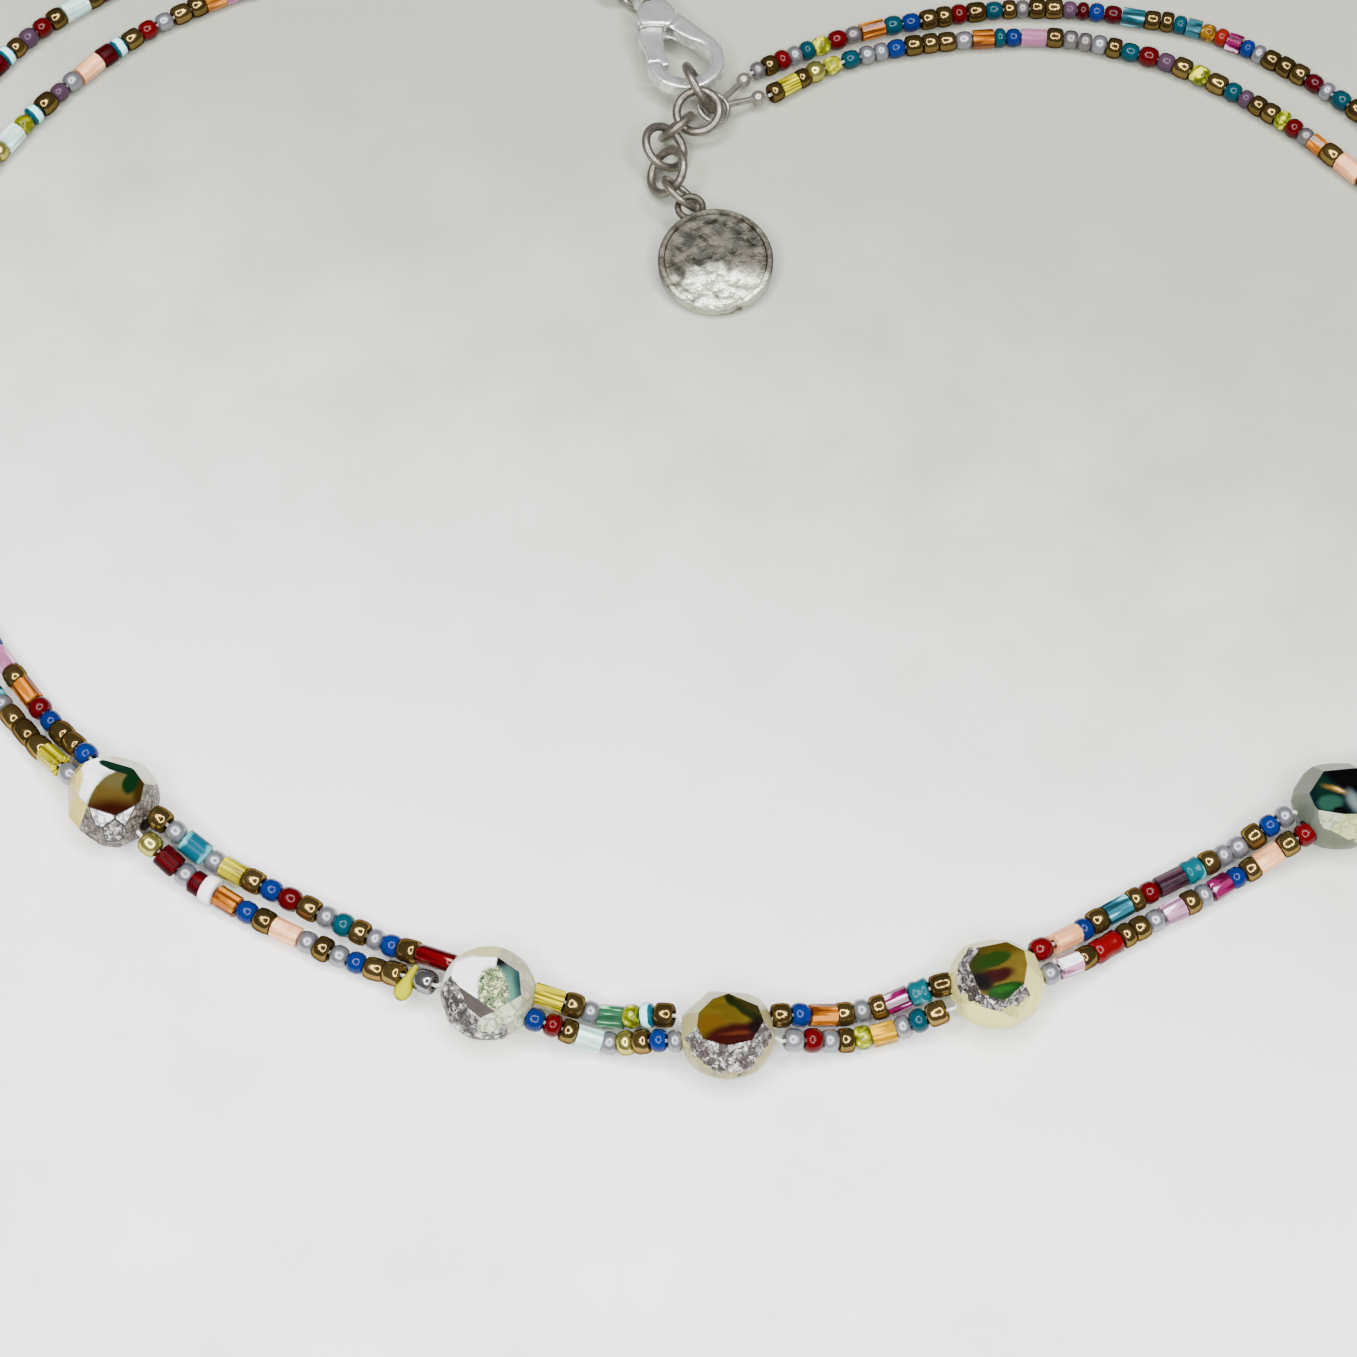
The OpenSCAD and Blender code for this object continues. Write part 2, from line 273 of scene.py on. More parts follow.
# painted shade: a colour that gets deeper where the surface turns away from the eye
def paintShadeAtOutline(tree, colour, rgb, start, end, strength):
    facing = addNode(tree, "LayerWeight", {"Blend": 0.5}).outputs["Facing"]
    return layColour(tree, colour, rgb, softStep(tree, facing, start, end), strength)


def mottledColour(tree, point, rgb, swing, scale):
    cloud = noise(tree, point, scale, 4.0, 0.6).outputs[0]
    return mixColour(tree, mapRange(tree, cloud, 0.3, 0.7), *shades(rgb, swing)), cloud


# the pair of strings: x, y, half the distance between them, 1 at a window bead, in millimetres
stringRoute = [
    (-14, 60.5, 1.6, 0), (-20, 62.5, 1.6, 0), (-29, 64.5, 2, 0), (-39, 64, 2.5, 0),
    (-49, 61, 3.2, 0), (-57, 57.5, 3.7, 0), (-63.5, 53, 3.8, 0), (-70, 46.5, 4, 0),
    (-76, 37, 3.6, 0), (-80, 26, 3, 0), (-81.5, 13, 2.4, 0), (-80.5, 0, 2, 0),
    (-77, -11, 1.8, 0), (-71.5, -20, 1.6, 0), (-65.5, -28, 1.3, 0), (-59.5, -35, 1.15, 0),
    (-53, -41.5, 1.15, 1), (-48, -45.5, 1.15, 0), (-43.5, -48.5, 1.3, 0), (-38, -51.5, 1.4, 0),
    (-32, -54.5, 1.35, 0), (-26, -57, 1.15, 0), (-19.5, -60, 1.15, 1), (-14, -61.5, 1.15, 0),
    (-9.5, -62.5, 1.2, 0), (-4.5, -63, 1.15, 0), (0.5, -63.5, 1.15, 1), (5.5, -63, 1.15, 0),
    (12, -62, 1.2, 0), (18, -60.5, 1.15, 0), (23.5, -59, 1.15, 1), (28.5, -56.5, 1.15, 0),
    (34, -53, 1.2, 0), (39.5, -50, 1.25, 0), (45, -47, 1.15, 0), (49.5, -44.5, 1.15, 0),
    (54.5, -42, 1.15, 1), (60, -38.5, 1.2, 0), (67.5, -32.5, 1.5, 0), (74, -24, 1.8, 0),
    (78.5, -14, 2, 0), (80.5, -3, 2.2, 0), (80.5, 8, 2.5, 0), (78, 19, 2.9, 0),
    (73.5, 27.5, 3.2, 0), (67.5, 34.5, 3.3, 0), (60, 42, 3.2, 0), (51.5, 48, 3, 0),
    (44.5, 50.5, 2.5, 0), (37.5, 52, 2.1, 0), (30.5, 52, 2, 0), (23.5, 51, 1.7, 0),
    (17, 49.5, 1.6, 0), (11, 47, 1.5, 0), (5, 43.5, 1.8, 0)]
seedRadius = 1.02
windowHeight = 2.8
neckLength = 4.25
riseLength = 6.5
stringLift = 0.02
threadSplit = 0.25
splitFrom = 3.6
splitLength = 0.3
windowRows = [i for i, row in enumerate(stringRoute) if row[3] == 1]
lastRow = len(stringRoute) - 1


def routeRow(i):
    return stringRoute[max(0, min(lastRow, i))]


def onRoute(u):
    i = min(int(u), lastRow - 1)
    t = u - i
    a, b, c, d = routeRow(i - 1), routeRow(i), routeRow(i + 1), routeRow(i + 2)
    return [0.5 * (2 * q + (r - p) * t + (2 * p - 5 * q + 4 * r - s) * t * t
                   + (3 * q - p - 3 * r + s) * t ** 3) for p, q, r, s in zip(a, b, c, d)]


def easeStep(t):
    t = max(0.0, min(1.0, t))
    return t * t * (3 - 2 * t)


def routeHeading(u, nearby=0.01):
    ahead, behind = onRoute(min(u + nearby, lastRow)), onRoute(max(u - nearby, 0))
    dx, dy = ahead[0] - behind[0], ahead[1] - behind[1]
    return dx / math.hypot(dx, dy), dy / math.hypot(dx, dy)


def stringPoint(u, side):
    x, y, half, flag = onRoute(u)
    hx, hy = routeHeading(u)
    away = min(math.hypot(x - stringRoute[i][0], y - stringRoute[i][1]) for i in windowRows)
    offset = side * (threadSplit + (half - threadSplit) * easeStep((away - splitFrom) / splitLength))
    low = seedRadius + stringLift
    height = low + (windowHeight - low) * easeStep(1 - (away - neckLength) / riseLength)
    return Vector((x + offset * hy, y - offset * hx, height))


# a string as points and their distance along it
def measureString(side, stepsPerRow=40):
    points, lengths, marks = [], [], {}
    total = 0.0
    for k in range(lastRow * stepsPerRow + 1):
        point = stringPoint(k / stepsPerRow, side)
        if points:
            total += (point - points[-1]).length
        points.append(point)
        lengths.append(total)
        if k % stepsPerRow == 0:
            marks[k // stepsPerRow] = total
    return points, lengths, marks


def alongString(string, distance):
    points, lengths, marks = string
    low, high = 0, len(lengths) - 1
    while high - low > 1:
        middle = (low + high) // 2
        if lengths[middle] <= distance:
            low = middle
        else:
            high = middle
    share = (distance - lengths[low]) / max(1e-9, lengths[high] - lengths[low])
    return points[low].lerp(points[high], share)


strings = {"inner": measureString(-1), "outer": measureString(1)}
print("strings measured", {name: round(s[1][-1], 1) for name, s in strings.items()})


# the beads that the hidden stretches repeat
plainMix = (
    "bronze16 silver16 teal22 garnet15 bronze16 peach25 bronze16 silver16 blue15 bronze16 red16 "
    "teal22 silver16 bronze16 yellow23 garnet15 bronze16 silver16 aqua23 bronze16 blue15 peach25 "
    "bronze16 sea16 silver16 red16 bronze16 lilac24 silver16 bronze16 gold15 blue15 bronze16 amber23 "
    "silver16 bronze16 green23 red16 bronze16 chip17 silver16 blue15 bronze16 magenta22 bronze16 "
    "silver16 orange23 red16 bronze16 violet16 silver16 sea16 bronze16 mint24 blue15 silver16 "
    "bronze16 wine25 bronze16 red16 silver16 pink22 bronze16 blue15 citrus14").split()


def mixed(start, count):
    return "".join(plainMix[(start + k) % len(plainMix)] + " " for k in range(count))


# bead order, stretch by stretch from the clasp's eye: kind and room along the string in tenths of a
# millimetre
beadOrder = {
    "inner": [
        "bronze16 silver16 blue16 bronze16 red16 teal22 silver16 bronze16 yellow23 maroon16 bronze16 "
        "silver16 aqua23 bronze16 blue16 peach25 bronze16 sea16 silver16 red16 bronze16 lilac24 "
        "amber22 bronze18 bronze20 silver20 red20 bronze20 stripe15 garnet18 peach29 silver19 "
        "violet19 bronze21 stripe15 lime18 mint25 gold15 silver16 bronze16 gold16 blue16 bronze16 "
        "amber23 silver16 bronze16 green23 red16 bronze16 chip17 silver16 blue16 bronze16 magenta22 "
        "bronze16 silver16 orange23 red16 bronze16 violet16 silver16 sea16 bronze16 mint24 blue16 "
        "silver16 bronze16 wine25 bronze16 red16 silver16 pink22 bronze16 blue16 lilac25 bronze18 "
        "amber25 red17 blue17 bronze21 bronze22 blue18 thread8",
        "bronze19 silver17 teal26 silver17 yellow23 bronze18 blue18 red20 bronze19 silver16 sea17 "
        "bronze16 silver14 blue17 bronze20 wine38",
        "yellow27 bronze17 silver15 green22 citrus15 stripe13 bronze17 thread9",
        "thread3 bronze17 blue17 amber24 bronze16 silver15 bronze15 magenta21 chip18 bronze21",
        "red24 peach30 blue14 bronze16 aqua24 bronze13 red16 ridged26 chip18 bronze15 silver14 "
        "silver16 bronze17 blue15 silver14 thread7",
        mixed(0, 46)
        + "bronze15 peach29 bronze20 amber17 grey15 red16 citrus14 bronze16 bronze16 violet14 sea17 "
        "bronze21 citrus21 bronze19 violet18 red21 sea19 bronze16 silver16 grey15 grey16 bronze18 "
        "lilac27 blue16 sea13 amber23 silver18 bronze19 bronze17 bronze19 blue19 silver15 silver16 "
        "sea21 lime22 gold19 bronze14 yellow21 bronze14"],
    "outer": [
        mixed(13, 31)
        + "bronze18 mint29 bronze18 red19 violet19 bronze16 stripe14 garnet18 "
        + mixed(44, 46)
        + "teal18 silver14 bronze20 bronze22 bronze21 yellow28 silver24",
        "thread9 gold21 garnet22 silver16 garnet14 disc12 amber23 blue18 bronze18 peach26 silver16 "
        "bronze15 silver16 blue16 bronze19 bronze19 drop14 steel18 thread9",
        "blue17 red15 bronze14 mint23 silver15 gold15 bronze15 blue15 silver13",
        "thread11 silver17 red17 silver15 bronze14 citrus15 orange21 silver14 sea15 bronze18 thread13",
        "silver16 pink23 bronze18 lobed31 bronze13 bronze16 silver16 rose21 bronze15 silver14 "
        "magenta20 blue16 bronze15 peach24 bronze17 red17",
        mixed(27, 54)
        + "bronze18 sea22 silver14 maroon19 bronze17 bronze17 bronze17 silver13 blue14 magenta16 "
        "coral14 topaz16 aqua16 sea14 bronze14 bronze17 aqua24 maroon19 blue16 maroon13 violet15 "
        "bronze19 bronze17 grey14 bronze14 sea19 bronze20 red17 bronze16 bronze18 blue20 sea20 "
        "amber26 grey17 red20 lime18 sea15 silver15 red15 bronze15 grey14"]}


# template shapes: profile of (place along the bore, radius), both from -1 to 1, the sides round it, and the
# angle above which an edge stays sharp
beadShapes = {
    "seed": ([(-0.92, 0.38), (-1, 0.54), (-0.8, 0.84), (-0.34, 1), (0.34, 1), (0.8, 0.84),
              (1, 0.54), (0.92, 0.38)], 12, 60),
    "barrel": ([(-0.93, 0.42), (-1, 0.7), (-0.84, 0.91), (-0.42, 1), (0.42, 1), (0.84, 0.91),
                (1, 0.7), (0.93, 0.42)], 12, 60),
    "bugle": ([(-1, 0.5), (-1, 0.94), (-0.96, 1), (0.96, 1), (1, 0.94), (1, 0.5)], 10, 34),
    "tube": ([(-0.97, 0.45), (-1, 0.8), (-0.9, 0.97), (-0.7, 1), (0.7, 1), (0.9, 0.97), (1, 0.8),
              (0.97, 0.45)], 12, 60),
    "tear": ([(-0.94, 0.1), (-1, 0.26), (-0.72, 0.42), (-0.3, 0.6), (0.15, 0.86), (0.5, 1),
              (0.82, 0.84), (1, 0.45), (0.97, 0.1)], 12, 60),
    "nugget": ([(-0.95, 0.4), (-1, 0.72), (-0.76, 0.98), (-0.4, 0.99), (0, 0.9), (0.4, 0.97),
                (0.8, 0.98), (1, 0.68), (0.95, 0.4)], 12, 60)}


def turnBead(shape):
    profile, sides, sharpAbove = beadShapes[shape]
    x, radius = profile[0]
    bpy.ops.object.select_all(action="DESELECT")
    bpy.ops.mesh.primitive_circle_add(vertices=sides, radius=radius, fill_type="NOTHING",
                                      location=(x, 0, 0), rotation=(0, math.pi / 2, 0))
    bead = bpy.context.object
    bead.name = "template_" + shape
    applyPlace(bead)
    setMode("EDIT")
    bpy.ops.mesh.select_mode(type="VERT")
    bpy.ops.mesh.select_all(action="SELECT")
    for nextX, nextRadius in profile[1:] + profile[:1]:
        bpy.ops.mesh.extrude_region_move(TRANSFORM_OT_translate={"value": (nextX - x, 0, 0)})
        if nextRadius != radius:
            scale = nextRadius / radius
            bpy.ops.transform.resize(value=(1, scale, scale), center_override=(nextX, 0, 0))
        x, radius = nextX, nextRadius
    bpy.ops.mesh.select_all(action="SELECT")
    bpy.ops.mesh.remove_doubles(threshold=weldDistance)
    bpy.ops.mesh.normals_make_consistent(inside=False)
    setMode("OBJECT")
    bpy.ops.object.shade_smooth_by_angle(angle=math.radians(sharpAbove))
    unwrapBead(bead)
    return bead


# the bead's own map: once round it from 0 to 1, and along its bore from -1 to 1
def unwrapBead(bead):
    mesh = bead.data
    while mesh.uv_layers:
        mesh.uv_layers.remove(mesh.uv_layers[0])
    layer = mesh.uv_layers.new(name="turned")
    for face in mesh.polygons:
        middle = math.atan2(face.center.z, face.center.y) / (2 * math.pi)
        for loop in face.loop_indices:
            place = mesh.vertices[mesh.loops[loop].vertex_index].co
            around = math.atan2(place.z, place.y) / (2 * math.pi)
            around += round(middle - around)
            layer.data[loop].uv = (around, place.x)


templates = {shape: turnBead(shape) for shape in beadShapes}
for template in templates.values():
    template.hide_render = True
print("bead templates turned")


# seed bead finishes
# look: metal (plated), pearl (soft metallic), solid (opaque glass), clear (see-through glass),
# lined (drawn glass with streaks along it), satin, ended (pale ends), banded (pale belt),
# marbled (pale patches, partly pale glass and partly a painted reflection)
# colours: that of the glass, and those of its deeper and its lighter parts where it has them; the lighter
# parts are partly painted highlight and reflection, and the deeper colour also gives the painted shade at
# the outline
def beadKind(look, wide, *colours, shape="seed", rough=0.12, **own):
    named = dict(zip(("colour", "dark", "streakAndHighlight"), colours))
    return {"look": look, "wide": wide, "shape": shape, "rough": rough, **named, **own}


beadKinds = {
    "bronze": beadKind("metal", 2.14, (0.165, 0.11, 0.035), shape="barrel", rough=0.13),
    "gold": beadKind("metal", 2.15, (0.36, 0.32, 0.085), rough=0.2),
    "silver": beadKind("pearl", 2.0, (0.19, 0.195, 0.217), rough=0.3),
    "steel": beadKind("metal", 2.1, (0.3, 0.29, 0.3), shape="barrel"),
    "grey": beadKind("pearl", 1.95, (0.13, 0.117, 0.12), rough=0.34),
    "blue": beadKind("solid", 2.04, (0.001, 0.0125, 0.1), rough=0.13),
    "red": beadKind("solid", 2.12, (0.072, 0.0003, 0.0012), rough=0.14),
    "garnet": beadKind("solid", 2.2, (0.042, 0.0003, 0.002), (0.02, 0.0002, 0.001), (0.075, 0.002, 0.003),
        shape="tube", gloss=0.04, rough=0.3),
    "maroon": beadKind("solid", 2.0, (0.04, 0.0005, 0.002), rough=0.17),
    "coral": beadKind("solid", 2.0, (0.17, 0.008, 0.004), rough=0.17),
    "teal": beadKind("ended", 2.15, (0.0005, 0.075, 0.115), shape="tube", pale=(0.12, 0.46, 0.52),
        gloss=0.1, rough=0.22),
    "sea": beadKind("solid", 2.05, (0.0002, 0.038, 0.056), rough=0.14),
    "chip": beadKind("marbled", 2.1, (0.001, 0.085, 0.11), shape="nugget", pale=(0.2, 0.7, 0.78),
        spread=(1.1, 0.95), rough=0.15),
    "disc": beadKind("solid", 2.85, (0.95, 0.98, 0.96), shape="tube", rough=0.14),
    "stripe": beadKind("banded", 2.3, (0.001, 0.055, 0.078), pale=(0.5, 0.95, 1.0), rough=0.14),
    "yellow": beadKind("lined", 2.0, (0.33, 0.282, 0.0001), (0.07, 0.057, 0.0002), (0.72, 0.63, 0.001),
        shape="bugle", fine=2.1),
    "citrus": beadKind("clear", 2.1, (0.16, 0.18, 0.001), (0.036, 0.042, 0.001), (0.7, 0.68, 0.04)),
    "topaz": beadKind("clear", 2.0, (0.2, 0.085, 0.003), (0.07, 0.03, 0.001), (0.5, 0.3, 0.05)),
    "lime": beadKind("clear", 2.0, (0.2, 0.2, 0.0006), (0.06, 0.07, 0.001), (0.6, 0.6, 0.03)),
    "amber": beadKind("lined", 1.98, (0.26, 0.075, 0.002), (0.05, 0.008, 0.002), (0.55, 0.2, 0.03),
        shape="bugle"),
    "orange": beadKind("lined", 2.0, (0.4, 0.2, 0.0002), (0.16, 0.062, 0.0003), (0.78, 0.44, 0.006),
        shape="bugle"),
    "peach": beadKind("satin", 1.98, (0.72, 0.33, 0.15), (0.55, 0.24, 0.115), (0.95, 0.56, 0.31),
        shape="bugle", rough=0.24),
    "lilac": beadKind("satin", 1.9, (0.34, 0.13, 0.24), (0.24, 0.08, 0.16), (0.7, 0.4, 0.55),
        shape="bugle", rough=0.22),
    "mint": beadKind("satin", 2.1, (0.42, 0.66, 0.6), (0.3, 0.48, 0.44), (0.8, 0.97, 0.92), shape="bugle",
        rough=0.2),
    "green": beadKind("lined", 1.98, (0.02, 0.1, 0.045), (0.004, 0.035, 0.014), (0.3, 0.7, 0.32),
        shape="bugle"),
    "aqua": beadKind("lined", 1.98, (0.014, 0.085, 0.115), (0.002, 0.012, 0.016), (0.16, 0.5, 0.62),
        shape="bugle"),
    "magenta": beadKind("lined", 1.98, (0.13, 0.004, 0.05), (0.02, 0.0003, 0.006), (0.95, 0.5, 0.85),
        shape="bugle", fine=0.9),
    "ridged": beadKind("lined", 1.98, (0.026, 0.009, 0.016), (0.009, 0.003, 0.006), (0.05, 0.022, 0.034),
        shape="bugle", fine=1.6, rough=0.24),
    "pink": beadKind("lined", 1.96, (0.5, 0.23, 0.36), (0.1, 0.045, 0.09), (1.0, 0.95, 1.0),
        shape="bugle", fine=0.8),
    "rose": beadKind("lined", 1.96, (0.44, 0.21, 0.33), (0.16, 0.08, 0.14), (0.98, 0.88, 0.97),
        shape="bugle", fine=0.8, rough=0.14),
    "wine": beadKind("lined", 1.85, (0.085, 0.001, 0.003), (0.03, 0.0003, 0.001), (0.75, 0.3, 0.24),
        shape="tube", fine=0.7),
    "violet": beadKind("solid", 2.0, (0.05, 0.025, 0.045), rough=0.17),
    "lobed": beadKind("solid", 2.2, (0.1, 0.0003, 0.0012), shape="nugget", rough=0.16),
    "drop": beadKind("solid", 1.55, (0.36, 0.335, 0.0), shape="tear", tall=3.3, hang=0.55, gloss=0.02,
        rough=0.3)}


# how drawn glass is patterned and how strongly painted shade darkens each bead towards its outline; swing is
# how far two beads of a kind differ in tone
glassPattern = {"streaksAround": 11.0, "streaksAlong": 0.22, "ownStreaks": 60.0, "darkBelow": 0.45,
                "paleAbove": 0.58, "soft": 0.035, "deepStrength": 0.85, "paleStrength": 0.9,
                "swing": {"metal": 0.3, "pearl": 0.14, "satin": 0.1},
                "belt": {"ended": (0.8, 1.0, 1.4), "banded": (0.3, 0.7, 0.62)},
                "outlineFrom": 0.3, "outlineTo": 0.9,
                "outline": {"metal": 0.6, "pearl": 0.85, "satin": 0.25, "solid": 0.85}}
drawnShine = {"Specular_IOR_Level": 0.15, "Coat_Weight": 0.09, "Coat_Roughness": 0.06, "IOR": 1.5}
glassShine = {"pearl": {"Metallic": 0.6, "Coat_Weight": 0.6, "Coat_Roughness": 0.2},
              "lined": drawnShine, "clear": drawnShine,
              "satin": {"Subsurface_Weight": 0.2, "Subsurface_Scale": 0.0005, "Specular_IOR_Level": 0.3}}


# drawn glass has its deep and light parts in streaks along the bore, and a seed bead has them in clouds;
# the light parts are partly the glass's own tone and partly painted highlight and reflection
def streakGlass(tree, colour, facts, point, tint, turned):
    if facts["look"] == "clear":
        drawn = noise(tree, point, 1.3).outputs[0]
    else:
        around = maths(tree, "MULTIPLY", turned["X"], glassPattern["streaksAround"] * facts.get("fine", 1))
        along = maths(tree, "MULTIPLY", turned["Y"], glassPattern["streaksAlong"])
        own = maths(tree, "MULTIPLY", tint, glassPattern["ownStreaks"])
        place = addNode(tree, "CombineXYZ", {"X": around, "Y": along, "Z": own}).outputs[0]
        drawn = noise(tree, place, 1.0).outputs[0]
    soft, darkBelow, paleAbove = glassPattern["soft"], glassPattern["darkBelow"], glassPattern["paleAbove"]
    deep = softStep(tree, drawn, darkBelow + soft, darkBelow - soft)
    pale = softStep(tree, drawn, paleAbove - soft, paleAbove + soft)
    colour = layColour(tree, colour, facts["dark"], deep, glassPattern["deepStrength"])
    # the lighter colour is partly the glass's own and partly a painted highlight
    return layColour(tree, colour, facts["streakAndHighlight"], pale)


def makeBeadMaterial(kind, facts):
    material, tree, shader = newMaterial("glass_" + kind)
    base = Vector(facts["colour"])
    look, rough = facts["look"], facts["rough"]
    tint = addNode(tree, "Attribute", attribute_name="tint").outputs["Fac"]
    point = pointInMm(tree)
    cloud = noise(tree, point, 1.6, 3.0).outputs[0]
    onMap = addNode(tree, "UVMap", uv_map="turned").outputs[0]
    turned = addNode(tree, "SeparateXYZ", {0: onMap}).outputs
    colour = mixColour(tree, tint, *shades(base, glassPattern["swing"].get(look, 0.2)))
    if "streakAndHighlight" in facts:
        colour = streakGlass(tree, colour, facts, point, tint, turned)
    if look in glassPattern["belt"]:
        # an uneven belt, at the bead's ends or round its middle
        unevenness, start, end = glassPattern["belt"][look]
        outward = maths(tree, "MULTIPLY_ADD", cloud, unevenness, maths(tree, "ABSOLUTE", turned["Y"]))
        belt = softStep(tree, outward, start, end)
        colour = layColour(tree, colour, facts["pale"], belt, glassPattern["paleStrength"])
    if look == "marbled":
        # pale patches: partly the chip's own pale glass, partly a painted reflection
        broad = noise(tree, point, 0.6, 1.0).outputs[0]
        colour = layColour(tree, colour, facts["pale"], softStep(tree, broad, 0.54, 0.68), 0.7)
    # painted shade: the colour darkens towards the bead's outline, where the surface turns from the eye
    colour = paintShadeAtOutline(tree, colour, facts.get("dark", base * 0.2), glassPattern["outlineFrom"],
                          glassPattern["outlineTo"], glassPattern["outline"].get(look, 0.7))
    grain = noise(tree, point, 3.5).outputs[0]
    setShader(tree, shader, Base_Color=colour, Normal=bumped(tree, grain, 0.12, 0.00005),
              Roughness=mapRange(tree, cloud, 0.3, 0.7, rough * 0.8, rough * 1.35))
    if look == "metal":
        setShader(tree, shader, Metallic=0.88, Specular_IOR_Level=0.4, Specular_Tint=colour4(base * 1.5))
    else:
        gloss = {"Specular_IOR_Level": facts.get("gloss", 0.16), "IOR": 1.5}
        setShader(tree, shader, **glassShine.get(look, gloss))
    return material


# how beads sit on their string, in millimetres and as shares of their width
strung = {"gap": 0.05, "seedLength": 0.92, "overFloor": 0.03, "reach": 0.4, "tilt": 0.045,
          "widths": (0.95, 1.035), "rise": 0.6, "ends": 0.12, "windowOverlap": 0.05}


# one bead: its own copy of the template's mesh, put in place on the string
def placeBead(string, middle, room, kind, facts):
    length = room - strung["gap"]
    wide = facts["wide"] * rng.uniform(*strung["widths"])
    if facts["shape"] == "seed":
        length = min(length, wide * strung["seedLength"])
    centre = alongString(string, middle)
    centre.z = max(centre.z, wide / 2 + strung["overFloor"])
    ahead = alongString(string, middle + strung["reach"])
    behind = alongString(string, middle - strung["reach"])
    along = (ahead - behind).normalized()
    sway = Vector((rng.uniform(-1, 1), rng.uniform(-1, 1), rng.uniform(-strung["rise"], strung["rise"])))
    along = (along + sway * strung["tilt"]).normalized()
    across = along.cross(Vector((0, 0, 1))).normalized()
    above = across.cross(along)
    centre = centre + across * facts.get("hang", 0)
    turn = rng.uniform(0, 2 * math.pi)
    spread = facts.get("spread", (1.0, 1.0))
    rotated = across * math.cos(turn) + above * math.sin(turn)
    lifted = above * math.cos(turn) - across * math.sin(turn)
    if "spread" in facts:
        rotated, lifted = across, above
    if "tall" in facts:
        # hangs across the thread, held at its narrow end
        along, rotated, lifted, length = across, along, above, facts["tall"]
    axes = ((along, length, 1), (rotated, wide, spread[0]), (lifted, wide, spread[1]))
    rows = [[axis[i] * size / 2 * share for axis, size, share in axes] + [centre[i]] for i in range(3)]
    place = Matrix(rows + [[0, 0, 0, 1]])
    mesh = templates[facts["shape"]].data.copy()
    mesh.transform(Matrix.Scale(mm, 4) @ place)
    tint = mesh.attributes.new("tint", "FLOAT", "FACE")
    tint.data.foreach_set("value", [rng.random()] * len(mesh.polygons))
    bead = bpy.data.objects.new(kind, mesh)
    bpy.context.collection.objects.link(bead)
    return bead


# "bronze16" is a bronze bead with 1.6 mm of the string
def readBead(token):
    kind = token.rstrip("0123456789")
    return kind, int(token[len(kind):])


beadCopies = {kind: [] for kind in beadKinds}
for name, string in strings.items():
    marks = [string[2][i] for i in windowRows]
    starts = [strung["ends"]] + [mark + neckLength - strung["windowOverlap"] for mark in marks]
    ends = [mark - neckLength + strung["windowOverlap"] for mark in marks] + [string[1][-1] - strung["ends"]]
    for text, start, end in zip(beadOrder[name], starts, ends):
        row = [readBead(token) for token in text.split()]
        scale = (end - start) / sum(room for kind, room in row)
        here = start
        for kind, room in row:
            if kind != "thread":
                bead = placeBead(string, here + room * scale / 2, room * scale, kind, beadKinds[kind])
                beadCopies[kind].append(bead)
            here += room * scale
print("beads strung:", sum(len(copies) for copies in beadCopies.values()))
for kind, copies in beadCopies.items():
    if not copies:
        continue
    beads = joinAll(copies, "beads_" + kind)
    coat(beads, makeBeadMaterial(kind, beadKinds[kind]))
    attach(beads, "necklace")
    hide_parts("inner_strand", "outer_strand")
for template in templates.values():
    bpy.data.objects.remove(template)


# the two threads
threadFacts = {"radius": 0.17, "step": 1.2, "colour": (0.78, 0.76, 0.72), "shade": 0.72}


def threadMaterial():
    material, tree, shader = newMaterial("nylon_thread")
    twist = addNode(tree, "TexWave", {"Vector": pointInMm(tree), "Scale": 2.2, "Distortion": 1.5},
                    bands_direction="DIAGONAL").outputs["Fac"]
    shaded = colour4([c * threadFacts["shade"] for c in threadFacts["colour"]])
    setShader(tree, shader, Base_Color=mixColour(tree, twist, shaded, colour4(threadFacts["colour"])),
              Roughness=0.55, Sheen_Weight=0.3, Normal=bumped(tree, twist, 0.4, 0.00004))
    return material


def makeThread():
    pieces = []
    for name, string in strings.items():
        total = string[1][-1]
        count = int(total / threadFacts["step"])
        curve = bpy.data.curves.new("thread_" + name, "CURVE")
        curve.dimensions = "3D"
        curve.bevel_depth = threadFacts["radius"] * mm
        curve.bevel_resolution = 1
        curve.use_fill_caps = True
        line = curve.splines.new("POLY")
        line.points.add(count)
        for k in range(count + 1):
            place = alongString(string, total * k / count) * mm
            line.points[k].co = (place.x, place.y, place.z, 1)
        obj = bpy.data.objects.new("thread_" + name, curve)
        bpy.context.collection.objects.link(obj)
        takeOnly(obj)
        bpy.ops.object.convert(target="MESH")
        bpy.ops.object.shade_smooth()
        pieces.append(bpy.context.object)
    thread = joinAll(pieces, "threads")
    coat(thread, threadMaterial())
    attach(thread, "necklace")
    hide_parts("inner_strand", "outer_strand")


makeThread()
print("threads laid")


